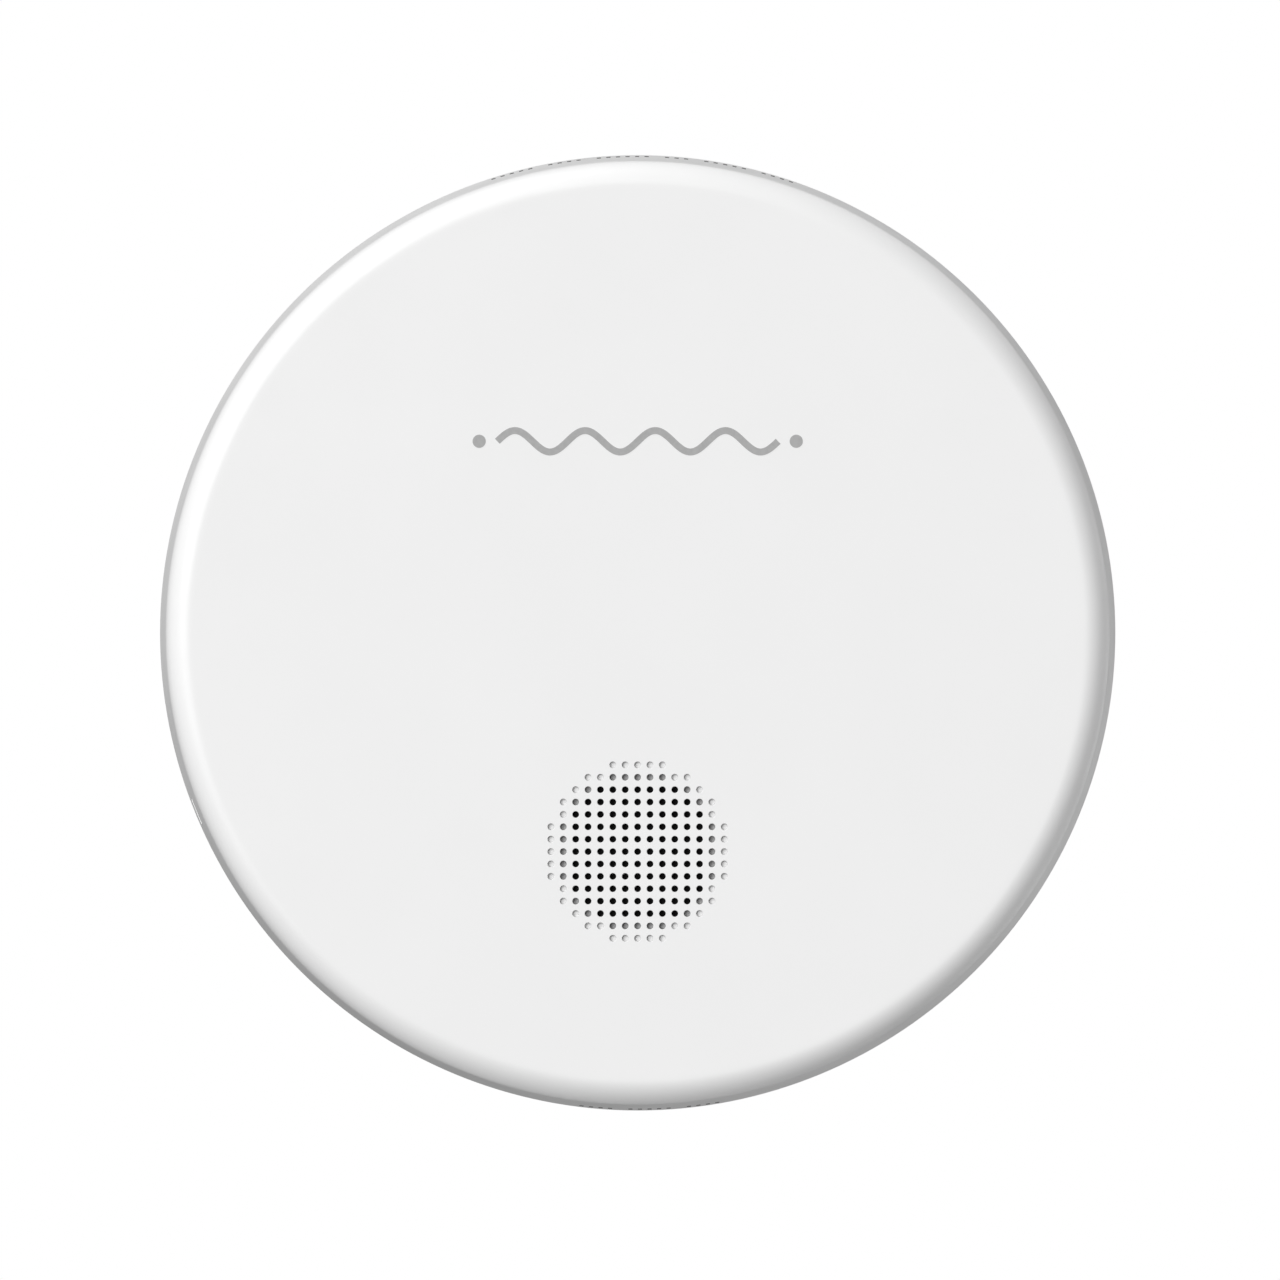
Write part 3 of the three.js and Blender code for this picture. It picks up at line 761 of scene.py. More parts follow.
def side_strokes(middle, groups):
    """Plain upright strokes printed round the side in groups of the given sizes, spelling nothing."""
    pitch = 1.15  # degrees between strokes
    gap = 1.3  # degrees more between groups
    film = 0.02
    low = 18.8
    high = 21.2
    outline = [
        (side_radius(low) + film, low),
        (side_radius(high) + film, high),
        (side_radius(high) - film, high),
        (side_radius(low) - film, low),
    ]
    angle = middle + (sum(groups) * pitch + (len(groups) - 1) * gap) / 2
    strokes = []
    for size in groups:
        for number in range(size):
            angle -= pitch
            strokes.append(strip(outline, 0.5, angle))
        angle -= gap
    return together(strokes)


# ---- back housing and wall plate

def housing_shell():
    collar_inside = 52.4
    collar_outside = 54.0
    collar_top = 24.0
    front_radius = 58.4
    back_radius = 56.4
    return lathe([
        (0, FLOOR_FRONT, 0),
        (collar_inside, FLOOR_FRONT, 0.4),
        (collar_inside, collar_top, 0.25),
        (collar_outside, collar_top, 0.25),
        (collar_outside, SHOULDER, 0.3),
        (front_radius, SHOULDER, 0.6),
        (back_radius, SKIRT_BACK, 0.6),
        (SKIRT_INSIDE, SKIRT_BACK, 0.25),
        (SKIRT_INSIDE, FLOOR_BACK, 0.4),
        (0, FLOOR_BACK, 0),
    ], 5, ROUND)


def bayonet_lip(degrees):
    """A lip that a lug of the wall plate turns in under, and the stop at the end of its turn."""
    root = SKIRT_INSIDE + ROOT
    stop_half_angle = 0.85
    stop_middle = degrees + LUG_HALF_ANGLE + 0.5 + stop_half_angle
    lip = prism(sector(50.2, root, degrees, 6), 3.5, 4.7, 0.15)
    stop = prism(sector(50.7, root, stop_middle, stop_half_angle, 2), 3.7, FLOOR_BACK + ROOT)
    return [lip, stop]


def spring_post(degrees):
    x, z = polar(SPRING_CIRCLE, degrees)
    foot = rod(x, z, 3.2, FLOOR_FRONT - ROOT, SPRING_SEAT, soft=0.2)
    return [foot, rod(x, z, SPRING_POST, SPRING_SEAT - 1, 25, soft=0.4)]


def cell_cradle():
    room = laid_along_x(rod(0, 0, CELL_RADIUS + 0.2, -20, 20, MIDDLE), CELL_Z, CELL_HEIGHT)
    ribs = [block(x, CELL_Z, 1.6, 17, FLOOR_FRONT - ROOT, 14.5, 0.15) for x in (-11, 11)]
    return [cut(rib, room.copy()) for rib in ribs]


def back_housing():
    bosses = [rod(x, z, 3, FLOOR_FRONT - ROOT, BOARD_BACK - GAP, soft=0.2) for x, z in BOARD_SCREWS]
    pilots = [rod(x, z, 1.4, FLOOR_FRONT + 0.2, BOARD_BACK + 1) for x, z in BOARD_SCREWS]
    window_middle = (LEG_INSIDE + BARB_REACH + 2) / 2
    windows = [
        spun(block(window_middle, 0, 6, LEG_WIDTH + 1.2, SHOULDER + 0.1, BARB_HIGH + 0.4), angle)
        for angle in LEG_ANGLES
    ]
    pin_slot = slot(FORK_X, -PIN_TRAVEL / 2, PIN_RADIUS + 0.3, PIN_TRAVEL + 3, False)
    lips = [form for angle in LEG_ANGLES for form in bayonet_lip(angle)]
    posts = [form for angle in SPRING_ANGLES for form in spring_post(angle)]
    whole = joined(housing_shell(), *lips, *posts, *bosses, *cell_cradle())
    return cut(whole, *pilots, *windows, prism(pin_slot, FLOOR_BACK - 1, FLOOR_FRONT + 1))


def wall_plate():
    foot = PLATE_THICKNESS - 0.1
    disc = lathe([
        (0, PLATE_THICKNESS, 0),
        (PLATE_RADIUS, PLATE_THICKNESS, 0.5),
        (PLATE_RADIUS, 0, 0.3),
        (0, 0, 0),
    ], sides=ROUND)
    ring = hoop(RING_INSIDE, RING_OUTSIDE, foot, RING_TOP, 0, 0.3, ROUND)
    stiffener = hoop(26, 27.2, foot, 3.4, 0, 0.3)
    lugs = [
        prism(sector(RING_OUTSIDE - 0.4, LUG_OUTSIDE, angle, LUG_HALF_ANGLE), LUG_BACK, LUG_FRONT, 0.15)
        for angle in LEG_ANGLES
    ]
    tine = PIN_RADIUS + 0.25 + 0.9
    fork = [block(FORK_X, z, 5, 1.8, foot, FLOOR_BACK - 0.7, 0.2) for z in (tine, -tine)]
    through = (-1, PLATE_THICKNESS + 1)
    windows = [prism(sector(31, 39, angle, 28, 24), *through) for angle in (90, 270)]
    slots = [prism(slot(side * SCREW_SLOT_X, 0, 1.9, 10, side > 0), *through) for side in (-1, 1)]
    ejector_marks = [rod(*polar(43, angle), 2.5, -1, 0.08, MIDDLE) for angle in range(15, 360, 60)]
    gate_mark = rod(0, 0, 3.2, -1, 0.12, MIDDLE)
    whole = joined(disc, ring, stiffener, *lugs, *fork)
    return cut(whole, *windows, *slots, *ejector_marks, gate_mark)


# ---- springs, switches and screws

def coil_spring(degrees):
    """An open coil whose first and last turns lie flat."""
    turns = 5.5
    flat_turns = 1.0
    steps = 200
    x, z = polar(SPRING_CIRCLE, degrees)
    low = SPRING_SEAT + SPRING_WIRE + GAP
    high = COVER_INSIDE - SPRING_WIRE - GAP
    wire = 2 * SPRING_WIRE
    points = []
    for step in range(steps + 1):
        turn = turns * step / steps
        share = min(max((turn - flat_turns) / (turns - 2 * flat_turns), 0), 1)
        start = wire * min(turn / flat_turns, 1)
        rise = (high - low - 2 * wire) * share
        end = wire * max(turn - (turns - flat_turns), 0) / flat_turns
        px, pz = polar(SPRING_RADIUS, 360 * turn)
        points.append(at(x + px, z + pz, low + start + rise + end))
    return tube(points, SPRING_WIRE)


def screw(x, z):
    """A pan-head screw with a cross recess and a coarse thread."""
    pitch = 0.7
    core = 1.1
    crest = 1.34
    tip = 10.2
    outline = [(0, 17.3, 0), (1.5, 17.3, 0), (2.4, 16.5, 0.4), (2.4, SEAT, 0.1), (core, SEAT, 0)]
    for turn in range(int((SEAT - tip - 1) / pitch)):
        height = SEAT - 0.3 - turn * pitch
        outline += [(core, height, 0), (crest, height - pitch * 0.45, 0), (core, height - pitch * 0.9, 0)]
    outline += [(1.05, tip + 0.7, 0), (0.3, tip, 0), (0, tip, 0)]
    recess = [block(x, z, 0.5, 2.4, 16.3, 18), block(x, z, 2.4, 0.5, 16.2, 18)]
    return cut(lathe(outline, 3, SMALL, x, z), *recess)


def tact_switch():
    well = rod(0, SWITCH_Z, PLUNGER_RADIUS + 0.2, 17, SWITCH_TOP + 1)
    body = cut(block(0, SWITCH_Z, 6, 6, SEAT, SWITCH_TOP - 0.35, 0.15), well)
    lid = cut(block(0, SWITCH_Z, 5.7, 5.7, SWITCH_TOP - 0.36, SWITCH_TOP, 0.1), well.copy())
    corners = [(x, z) for x in (-2.3, 2.3) for z in (-2.3, 2.3)]
    stakes = [rod(x, SWITCH_Z + z, 0.4, SWITCH_TOP - 0.3, SWITCH_TOP - 0.01, 16) for x, z in corners]
    return [(body, CHIP_RESIN), (lid, STEEL), (together(stakes), CHIP_RESIN)]


def slide_switch():
    middle = -PIN_TRAVEL / 2
    top = BOARD_BACK - GAP
    pocket = block(FORK_X, middle, 3.6, PIN_TRAVEL + 4, 10.9, 12.9)
    mouth = block(FORK_X, middle, 2.8, PIN_TRAVEL + 3, 9, 11.2)
    body = cut(block(FORK_X, middle, 5, 11, 9.9, top, 0.2), pocket, mouth)
    return [(body, CHIP_RESIN)]


def activation_slider():
    head = block(FORK_X, 0, 3.2, 3.2, 11.1, 12.6, 0.15)
    return joined(head, rod(FORK_X, 0, PIN_RADIUS, 4.2, 11.5, soft=0.3))


# ---- circuit board and its parts

def sensor_pin_places():
    return around(SENSOR_X, SENSOR_Z, SENSOR_PIN_CIRCLE, (90, 210, 330))


def circuit_board():
    edge = math.degrees(math.asin(BOARD_TOP_EDGE / BOARD_RADIUS))
    steps = 160
    angles = [180 - edge + (180 + 2 * edge) * step / steps for step in range(steps + 1)]
    board = prism([polar(BOARD_RADIUS, angle) for angle in angles], BOARD_BACK, BOARD_FRONT, 0.08, 1)
    through = (BOARD_BACK - 1, BOARD_FRONT + 1)
    holes = [rod(x, z, 1.5, *through) for x, z in BOARD_SCREWS]
    holes += [rod(*polar(SPRING_CIRCLE, angle), 3.6, *through, MIDDLE) for angle in SPRING_ANGLES[1:]]
    holes += [rod(*place, 0.7, *through) for place in sensor_pin_places()]
    return cut(board, *holes)


def board_tracks():
    """Copper tracks under the solder mask, each a line of (x, z) points, and the vias beside them."""
    chip_left = 8.7
    chip_right = 15.3
    chip_foot = 0.7
    chip_pitch = 0.625
    rows = [SWITCH_Z + (index - 3.5) * chip_pitch for index in range(8)]
    fine = [
        [(chip_left, rows[7]), (6.8, rows[7]), (6, rows[7] + 0.8), (6, 16.5)],
        [(chip_left, rows[6]), (4.8, rows[6]), (4, rows[6] + 0.8), (4, 16.5)],
        [(chip_left, rows[5]), (5.6, rows[5]), (5, rows[5] - 0.6), (5, -1.2), (2.6, -3.6), (2.6, -4.6)],
        [(chip_left, rows[4]), (4.8, rows[4]), (4.2, rows[4] - 0.6), (4.2, 0.4), (0, -3.8), (0, -4.6)],
        [(chip_right, rows[7]), (18, rows[7]), (19.8, 8), (22, 8)],
        [(chip_right, rows[6]), (19, rows[6]), (27.5, rows[6] - 8.5)],
        [(chip_right, rows[1]), (18, rows[1]), (FORK_X, 0.4)],
        [(chip_right, rows[0]), (16.2, rows[0]), (FORK_X, -2)],
        [(16.4, -5.7), (27, -5.7)],
        [(16.4, -7.4), (18.2, -7.4), (18.9, -8.1), (18.9, -20.1), (15, -24)],
        [(16.4, -8.3), (17.2, -8.3), (18, -9.1), (18, -19), (15, -22)],
        [(-9, 11), (-7.4, 11), (-6, 12.4), (-6, 16.5)],
        [(-9, 7), (-5.2, 7), (-4, 8.2), (-4, 16.5)],
        [(-9, 3), (-2.9, 3)],
        [(-11, 11), (-13, 11), (-13.8, 10.2), (-13.8, -14)],
        [(-11, 7), (-12, 7), (-12.8, 6.2), (-12.8, -14)],
        [(-11, 3), (-11.8, 2.2), (-11.8, -15)],
        [(7.8, 12), (10.2, 12)],
        [(11.8, 12), (14.2, 12)],
        [(15.8, 12), (18.4, 12), (19.4, 13)],
    ]
    for index in range(3):
        x = 12 + (index - 3.5) * chip_pitch
        z = -8.3 + index * 0.85
        fine.append([(x, chip_foot), (x, z + 0.4), (x + 0.4, z), (11.9, z)])
    wide = [
        [(19.5, 18), (19.5, 12.5), (23, 9)],
        [(-19, 18), (-19, 12.5), (-17, 10.5), (-17, -2), (-20, -5)],
        [(26.5, 7), (30, 3.5), (30, -4)],
    ]
    vias = [
        (7.4, 1.5), (7.4, -0.5), (22.4, -8.4), (-15.4, 4), (-15.4, -6), (16.8, 9.3), (-8, -8), (22.6, -13),
    ]
    low = BOARD_FRONT - 0.02
    high = BOARD_FRONT + 0.03
    copper = [prism(ribbon(line, 0.3), low, high) for line in fine]
    copper += [prism(ribbon(line, 1.2), low, high + 0.005) for line in wide]
    copper += [hoop(0.2, 0.45, low, high, sides=20, x=x, z=z) for x, z in vias]
    return together(copper)


def board_pads():
    """Tinned rings round the screw holes and a row of test pads, as thin as real plating."""
    low = BOARD_FRONT - 0.02
    high = BOARD_FRONT + 0.045
    rings = [hoop(1.6, 2.9, low, high, sides=SMALL, x=x, z=z) for x, z in BOARD_SCREWS]
    test_pads = [rod(-6 + 2 * index, 16.5, 0.6, low, high, 24) for index in range(7)]
    return together(rings + test_pads)


def solder_joints():
    """Small cones of solder where leads come through the board."""
    places = [(FORK_X, -PIN_TRAVEL / 2 + step) for step in (-2.5, 0, 2.5)]
    tip = SEAT + 0.7
    outline = [(0, tip, 0), (0.25, tip, 0.1), (0.4, SEAT + 0.25, 0.2), (0.85, SEAT, 0), (0, SEAT, 0)]
    return together([lathe(outline, 4, 20, x, z) for x, z in places])


def chip_lead(x, z, out_x, out_z, reach, width, rise):
    """A lead that leaves the chip's side one way, with a flat foot and a raised shoulder."""
    def bar(along, length, low, high, soft):
        size = (length, width) if out_x else (width, length)
        return block(x + out_x * along, z + out_z * along, *size, low, high, soft, 1)

    foot = bar(0, reach, SEAT, SEAT + 0.25, 0.05)
    shoulder = bar(-reach * 0.3, reach * 0.4, SEAT + 0.2, SEAT + rise, 0.04)
    return [foot, shoulder]


def packaged_chip(x, z, width, length, height, count, all_round):
    """A chip of moulded resin inside its leads, with a dimple by its first lead."""
    reach = 0.7
    body_width = width - 2 * reach
    body_length = length - (2 * reach if all_round else 0)
    top = SEAT + height
    body = block(x, z, body_width, body_length, SEAT + 0.1, top, 0.12)
    dimple = rod(x - body_width / 2 + 0.8, z + body_length / 2 - 0.8, 0.35, top - 0.08, top + 1, 20)
    pitch = (body_length - 0.6) / count
    leads = []
    for index in range(count):
        along = (index - (count - 1) / 2) * pitch
        for side in (-1, 1):
            out = side * (body_width + reach) / 2
            leads += chip_lead(x + out, z + along, side, 0, reach, pitch / 2, height / 2)
            if all_round:
                out = side * (body_length + reach) / 2
                leads += chip_lead(x + along, z + out, 0, side, reach, pitch / 2, height / 2)
    return [(cut(body, dimple), CHIP_RESIN), (together(leads), SOLDER)]


def small_part(x, z, height, look):
    """A surface-mounted resistor or capacitor: a body between two tinned ends."""
    ends = [block(x + side * 0.8, z, 0.4, 1.25, SEAT, SEAT + height, 0.06, 1) for side in (-1, 1)]
    return [(block(x, z, 1.2, 1.19, SEAT + 0.03, SEAT + height - 0.03), look), (together(ends), SOLDER)]


def booster_coil():
    """A drum core with its winding between two flanges."""
    x, z = 30, -6
    low = 17.0
    high = 23.8
    lower = lathe([(0, low, 0), (4.5, low, 0.2), (4.5, SEAT, 0.2), (0, SEAT, 0)], x=x, z=z)
    cap = [(0, 24.4, 0), (2, 24.4, 0.1), (2, 25, 0.2), (4.5, 25, 0.2), (4.5, high, 0.2), (0, high, 0)]
    upper = lathe(cap, x=x, z=z)
    wire = 0.34
    rows = int((high - low) / wire)
    ridges = [(0, low)]
    for row in range(rows):
        height = low + row * wire
        ridges += [(3.95, height + 0.02), (4.12, height + wire * 0.3), (4.12, height + wire * 0.7)]
    ridges += [(3.95, low + rows * wire), (0, low + rows * wire)]
    return [(together([lower, upper]), BLACK_PLASTIC), (turned(ridges, MIDDLE, x, z), COPPER)]


def filter_capacitor():
    """A small can in its sleeve, with a crimped neck and a scored vent on top."""
    x, z = 24, 8
    sleeve = lathe([
        (0, 23.6, 0), (3.0, 23.6, 0), (3.2, 23.4, 0.15), (3.2, 17.4, 0.3), (2.95, 17.0, 0.2),
        (3.2, 16.6, 0.3), (3.2, SEAT, 0.15), (0, SEAT, 0),
    ], x=x, z=z)
    top = rod(x, z, 2.85, 23.5, 24, MIDDLE, soft=0.25)
    vents = [block(x, z, 0.25, 4, 23.85, 25), block(x, z, 4, 0.25, 23.84, 25)]
    return [(sleeve, SLEEVE_BLUE), (cut(top, *vents), STEEL)]


def lamp(x, lens):
    base = block(x, LAMP_Z, 1.6, 1.2, SEAT, SEAT + 0.35, 0.05, 1)
    dome = block(x, LAMP_Z, 1.3, 1.1, SEAT + 0.34, SEAT + 1, 0.2, 4)
    return [(base, CERAMIC), (dome, lens)]


# ---- battery, gas sensor and sounder

def battery_cell():
    half = CELL_LENGTH / 2
    can = lathe([
        (0, half + 0.5, 0), (3, half + 0.5, 0.3), (3, half - 0.15, 0.1), (5.2, half - 0.15, 0.1),
        (7.4, half - 0.05, 0.2), (8.2, half - 0.3, 0.3), (8.2, -half + 0.05, 0.5), (0, -half + 0.05, 0),
    ], 5)
    sleeve = lathe([
        (7.2, half - 0.02, 0), (8.1, half, 0.3), (8.5, half - 0.5, 0.4), (8.5, half - 3.2, 0.4),
        (8.28, half - 3.7, 0.4), (8.5, half - 4.2, 0.4), (8.5, -half + 0.5, 0.4), (8.1, -half, 0.3),
        (7.0, -half + 0.02, 0), (7.0, -half + 0.2, 0), (8.22, -half + 0.3, 0), (8.22, half - 0.25, 0),
        (7.2, half - 0.2, 0),
    ], 5)
    seal = hoop(3.2, 5.0, half - 0.1, half - 0.4)
    parts = ((can, STEEL), (sleeve, SLEEVE_BLUE), (seal, BLACK_PLASTIC))
    return [(laid_along_x(mesh, CELL_Z, CELL_HEIGHT), look) for mesh, look in parts]


def battery_tab(side):
    """A welded strip against one end of the cell, with a foot on the board."""
    thickness = 0.3
    face = CELL_LENGTH / 2 + (0.55 if side > 0 else GAP)
    upright = block(side * (face + thickness / 2), 24.8, thickness, 15.6, SEAT, 21.5, 0.1)
    foot = block(side * (face + 1.7), 18.2, 3.4, 2.4, SEAT, SEAT + thickness, 0.08)
    return joined(upright, foot)


def gas_sensor():
    """The sensor's body, its grooved cap and the felt filter behind the cap's mouth."""
    place = (MIDDLE, SENSOR_X, SENSOR_Z)
    top = 28.0
    body = lathe([
        (0, top, 0), (9.8, top, 0.3), (9.8, 23.4, 0.1), (9.65, 23.2, 0.1), (9.8, 23.0, 0.1),
        (9.8, 17, 0.5), (0, 17, 0),
    ], 4, *place)
    cap = lathe([
        (2.2, 30, 0.4), (10.2, 30, 0.6), (10.2, 24, 0.2), (9.85, 24, 0.1), (9.85, top + GAP, 0.1),
        (2.2, top + GAP, 0.1),
    ], 5, *place)
    places = around(SENSOR_X, SENSOR_Z, 10.28, range(0, 360, 15))
    grooves = [rod(*place, 0.22, 24.8, 31, 12) for place in places]
    felt = rod(SENSOR_X, SENSOR_Z, 2.1, 28.1, 29.4, soft=0.2)
    return body, cut(cap, *grooves), felt


def sounder_base():
    cup = lathe([
        (0, SEAT, 0), (SOUNDER_RADIUS, SEAT, 0.4), (SOUNDER_RADIUS, 24.6, 0.1), (16.2, 24.6, 0.1),
        (16.2, 23.4, 0.05), (14.6, 23.4, 0.1), (14.6, 17.2, 0.3), (0, 17.2, 0),
    ], 4, MIDDLE * 2, 0, GRILLE_Z)
    return cut(cup, *(rod(x, GRILLE_Z, 1, SEAT - 1, 18) for x, top in SOUNDER_CONTACTS))


def sounder_cap():
    return lathe([
        (SOUNDER_RADIUS, 24.65, 0.1), (SOUNDER_RADIUS, 27.4, 0.5), (9.9, 28.9, 0.4), (9.9, 33.4, 0.2),
        (9, 33.4, 0.2), (9, 28, 0.4), (15.3, 26.2, 0.3), (15.3, 23.75, 0.1), (16.1, 23.75, 0.1),
        (16.1, 24.65, 0.1),
    ], 5, MIDDLE * 2, 0, GRILLE_Z)


def spring_contact(x, top):
    """A contact with a barrel on the board and a thinner tip against the sounder's disc."""
    outline = [
        (0, top, 0), (0.35, top, 0.15), (0.35, 21, 0.05), (0.6, 20.8, 0.1), (0.6, SEAT, 0.1), (0, SEAT, 0),
    ]
    return lathe(outline, 4, SMALL, x, GRILLE_Z)


def light_guide():
    """A clear ring behind the grille, an arm from it, and a stem down to the lamps."""
    back = 31.2
    front = 33.6
    ring = hoop(10.2, 12.4, back, front, 0.2, 0.2, z=GRILLE_Z)
    near = GRILLE_Z + 12
    arm = block(0, (near + LAMP_Z) / 2, 8, LAMP_Z - near, back, front, 0.2)
    stem = block(0, LAMP_Z, 8, 2.2, 17, front, 0.2)
    return joined(ring, arm, stem)


# ---- the build

def label_rules():
    """A plain frame and four ruled lines, with nothing written on them."""
    low = FLOOR_BACK - 0.22
    high = FLOOR_BACK - 0.19
    border = cut(block(0, 24, 47, 17, low, high), block(0, 24, 46.4, 16.4, low - 1, high + 1))
    lines = [block(3, 19 + 3.2 * index, 36, 0.25, low, high) for index in range(4)]
    return together([border, *lines])


def housing_piece(name, parts, node, slot_name):
    """A piece that rides on the housing and stands for one CAD node."""
    piece(name, "housing", parts, [node])


def build_outside():
    piece("cover_shell", "cover", [(front_cover(), COVER_WHITE)], ["front_cover"])
    piece("face_mark", "cover", [(face_mark(), FACE_INK)])
    piece("top_strokes", "cover", [(side_strokes(90, (5, 4, 6, 3, 5, 4)), SIDE_INK)])
    piece("bottom_strokes", "cover", [(side_strokes(272, (4, 5, 4)), SIDE_INK)])
    screen_front = DEPTH - GRILLE_SKIN - 0.1
    screen = rod(0, GRILLE_Z, RECESS_RADIUS - 0.4, screen_front - 0.3, screen_front, MIDDLE, soft=0.08)
    piece("woven_screen", "cover", [(screen, SCREEN_CLOTH)], ["dust_screen"])
    housing = [(back_housing(), HOUSING_WHITE)]
    housing_piece("housing_shell", housing, "back_housing", "housing_plastic")
    label_outline = rounded([(-25, 14, 1.5), (25, 14, 1.5), (25, 34, 1.5), (-25, 34, 1.5)], 6)
    label = prism(label_outline, FLOOR_BACK - 0.2, FLOOR_BACK - GAP)
    housing_piece("blank_label", [(label, LABEL_FILM)], "rating_label", "label_film")
    piece("label_rules", "housing", [(label_rules(), SIDE_INK)])
    piece("wall_plate", "plate", [(wall_plate(), HOUSING_WHITE)], ["mounting_plate"])


def build_moving_parts():
    for number, angle in enumerate(SPRING_ANGLES, 1):
        parts = [(coil_spring(angle), STEEL)]
        coil = piece(f"spring_coil_{number}", "housing", parts, [f"cover_spring_{number}"])
        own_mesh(coil)
    plunger = rod(0, SWITCH_Z, PLUNGER_RADIUS, 17.9, PLUNGER_TOP, soft=0.3)
    piece("test_plunger", "plunger", [(plunger, INNER_WHITE)], ["switch_plunger"])
    slider = [(activation_slider(), INNER_WHITE)]
    piece("slider_pin", "slider", slider, ["activation_slider"])


def build_board():
    add = housing_piece
    add("board", [(circuit_board(), BOARD_MASK)], "circuit_board", "board_laminate")
    piece("board_tracks", "housing", [(board_tracks(), TRACK_MASK)])
    piece("board_pads", "housing", [(board_pads(), SOLDER)])
    piece("solder_joints", "housing", [(solder_joints(), SOLDER)])
    for number, (x, z) in enumerate(BOARD_SCREWS, 1):
        add(f"pan_screw_{number}", [(screw(x, z), STEEL)], f"board_screw_{number}", "steel")
    add("test_switch", tact_switch(), "tact_switch", "chip_resin")
    add("power_switch", slide_switch(), "slide_switch", "chip_resin")
    add("controller", packaged_chip(12, 4, 7, 7, 1.4, 8, True), "controller_chip", "chip_resin")
    add("driver", packaged_chip(14, -7, 5, 4, 1.5, 4, False), "driver_chip", "chip_resin")
    add("boost_inductor", booster_coil(), "booster_coil", "winding")
    add("smoothing_capacitor", filter_capacitor(), "filter_capacitor", "steel")
    for number, (colour, lens) in enumerate(LENSES.items()):
        add(f"lamp_{colour}", lamp((number - 1) * LAMP_SPACING, lens), f"led_{colour}", f"lamp_{colour}")
    for number in range(3):
        resistor = small_part(-10, 11 - 4 * number, 0.7, CHIP_RESIN)
        add(f"resistor_{number + 1}", resistor, f"chip_resistor_{number + 1}", "chip_resin")
        capacitor = small_part(7 + 4 * number, 12, 0.9, CERAMIC)
        add(f"capacitor_{number + 1}", capacitor, f"chip_capacitor_{number + 1}", "ceramic")


def build_battery():
    housing_piece("lithium_cell", battery_cell(), "battery_cell", "cell_sleeve")
    for side, pole in ((1, "positive"), (-1, "negative")):
        tab = [(battery_tab(side), NICKEL)]
        housing_piece(f"tab_{pole}", tab, f"battery_tab_{pole}", "nickel")
    pad = block(0, CELL_Z, 18, 8, FLOOR_FRONT + GAP, CELL_HEIGHT - CELL_RADIUS - GAP, 0.1)
    housing_piece("cell_pad", [(pad, FOAM)], "battery_pad", "foam")


def build_sensor():
    body, cap, felt = gas_sensor()
    housing_piece("sensor_can", [(body, SENSOR_SHELL)], "sensor_body", "sensor_shell")
    housing_piece("sensor_hood", [(cap, INNER_WHITE)], "sensor_cap", "inner_plastic")
    housing_piece("sensor_felt", [(felt, FOAM)], "sensor_filter", "foam")
    for number, place in enumerate(sensor_pin_places(), 1):
        pin = [(rod(*place, 0.5, 13.2, 16.95, soft=0.15), NICKEL)]
        housing_piece(f"sensor_lead_{number}", pin, f"sensor_pin_{number}", "nickel")


def build_sounder():
    housing_piece("sounder_cup", [(sounder_base(), BLACK_PLASTIC)], "sounder_base", "black_plastic")
    housing_piece("sounder_horn", [(sounder_cap(), BLACK_PLASTIC)], "sounder_cap", "black_plastic")
    disc = rod(0, GRILLE_Z, 16, 23.45, 23.7, MIDDLE * 2, soft=0.05)
    housing_piece("brass_disc", [(disc, BRASS)], "piezo_disc", "brass")
    wafer = rod(0, GRILLE_Z, 11, 23.2, 23.42, MIDDLE, soft=0.04)
    housing_piece("ceramic_wafer", [(wafer, CERAMIC)], "piezo_ceramic", "ceramic")
    for number, (x, top) in enumerate(SOUNDER_CONTACTS, 1):
        contact = [(spring_contact(x, top), BRASS)]
        housing_piece(f"sounder_contact_{number}", contact, f"contact_pin_{number}", "brass")
    housing_piece("clear_guide", [(light_guide(), ACRYLIC)], "light_guide", "light_guide")


build_outside()
build_moving_parts()
build_board()
build_battery()
build_sensor()
build_sounder()

# ---- floor, light and camera

CAMERA_DISTANCE = 1.135  # from the wall, along the detector's axis
DISC_SHARE = 0.7465  # of the picture's width that the detector takes
SENSOR_WIDTH = 36.0
SHIFT_X = 0.0018
SHIFT_Y = -0.0056
FLOOR_RADIUS = 6000
FLOOR_Z = -0.6  # in metres
LIGHTS = (  # name, tilt, degrees, strength and spread of each sun
    ("key", 30, 150, 2.95, 50),
    ("top", 75, 115, 1.1, 40),
    ("right_back", 120, 345, 1.05, 60),
    ("high_back", 120, 60, 0.68, 60),
    ("low_back", 120, 270, 0.53, 60),
)


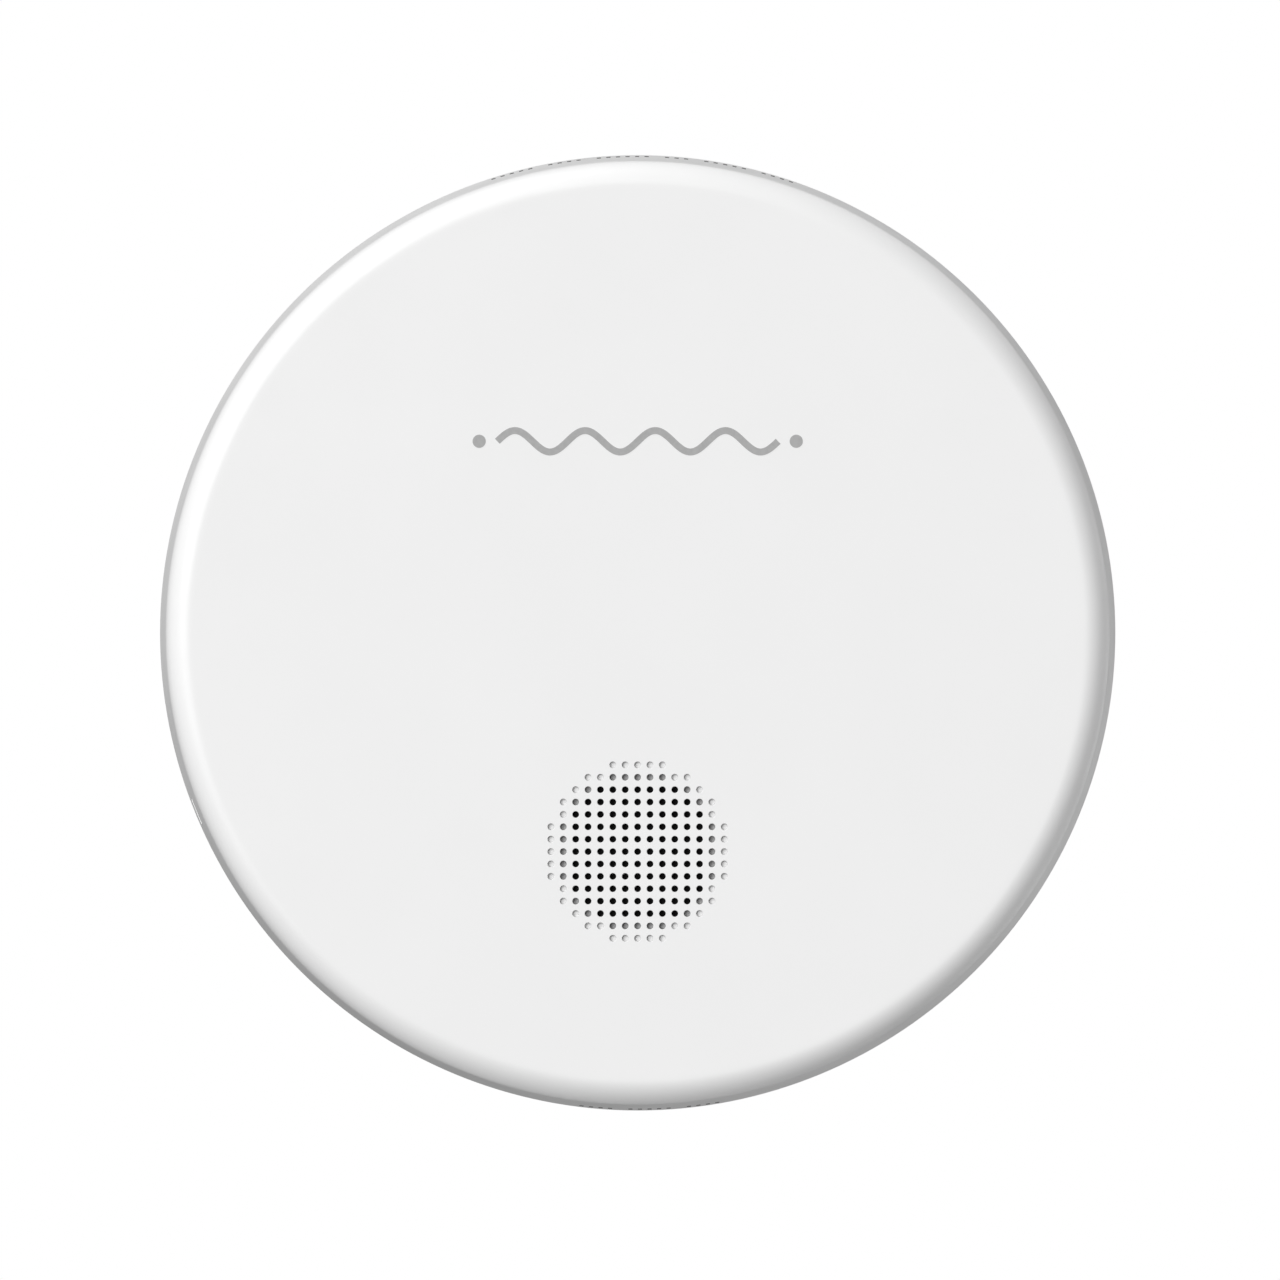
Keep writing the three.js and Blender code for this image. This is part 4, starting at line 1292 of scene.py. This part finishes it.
def floor():
    """A pale paper floor far below. It takes no part in lighting the detector."""
    look = Look("floor_paper", roughness=0.9)
    look.feed("Base Color", look.mixed(look.noise(40, 3), tone(0.78), tone(0.82)))
    look.feed("Normal", look.bump(look.noise(2, 3), 0.05))
    disc = turned([(0, -1), (FLOOR_RADIUS, -1), (FLOOR_RADIUS, 1), (0, 1)])
    disc.transform(Matrix.Translation((0, 0, FLOOR_Z)) @ Matrix.Rotation(math.radians(90), 4, "X"))
    disc.materials.append(look.material)
    made = placed("floor", disc)
    made.visible_diffuse = False
    made.visible_glossy = False
    made.visible_shadow = False


def sun(name, tilt, degrees, strength, spread):
    """A soft distant light. Tilt is from the way the front looks, and degrees are seen from the front."""
    light = bpy.data.lights.new(name, "SUN")
    light.energy = strength
    light.angle = math.radians(spread)
    made = placed(name, light)
    across = math.sin(math.radians(tilt))
    x, z = polar(across, degrees)
    toward = Vector((x, -math.cos(math.radians(tilt)), z))
    made.rotation_mode = "QUATERNION"
    made.rotation_quaternion = toward.to_track_quat("Z", "Y")


def sky(ambient):
    """White where the camera sees it, and an even light of the given strength on everything."""
    world = bpy.data.worlds.new("studio")
    bpy.context.scene.world = world
    world.use_nodes = True
    nodes = world.node_tree.nodes
    links = world.node_tree.links
    seen = nodes["Background"]
    seen.inputs["Color"].default_value = tone(1.0)
    lighting = nodes.new("ShaderNodeBackground")
    lighting.inputs["Strength"].default_value = ambient
    rays = nodes.new("ShaderNodeLightPath")
    both = nodes.new("ShaderNodeMixShader")
    links.new(rays.outputs["Is Camera Ray"], both.inputs[0])
    links.new(lighting.outputs[0], both.inputs[1])
    links.new(seen.outputs[0], both.inputs[2])
    links.new(both.outputs[0], nodes["World Output"].inputs["Surface"])


def camera():
    """Looks straight at the front, with the detector a little off the middle of the picture."""
    data = bpy.data.cameras.new("camera")
    made = placed("camera", data)
    reach = side_radius(COVER_BACK) * MM / (CAMERA_DISTANCE - COVER_BACK * MM)
    data.sensor_width = SENSOR_WIDTH
    data.lens = SENSOR_WIDTH / 2 / (reach / DISC_SHARE)
    data.shift_x = SHIFT_X
    data.shift_y = SHIFT_Y
    data.clip_start = 0.05
    data.clip_end = 50
    made.location = (0, -CAMERA_DISTANCE, 0)
    made.rotation_euler = (math.radians(90), 0, 0)
    bpy.context.scene.camera = made


floor()
sky(0.186)
for light in LIGHTS:
    sun(*light)
camera()
bpy.context.scene.view_settings.view_transform = "Standard"
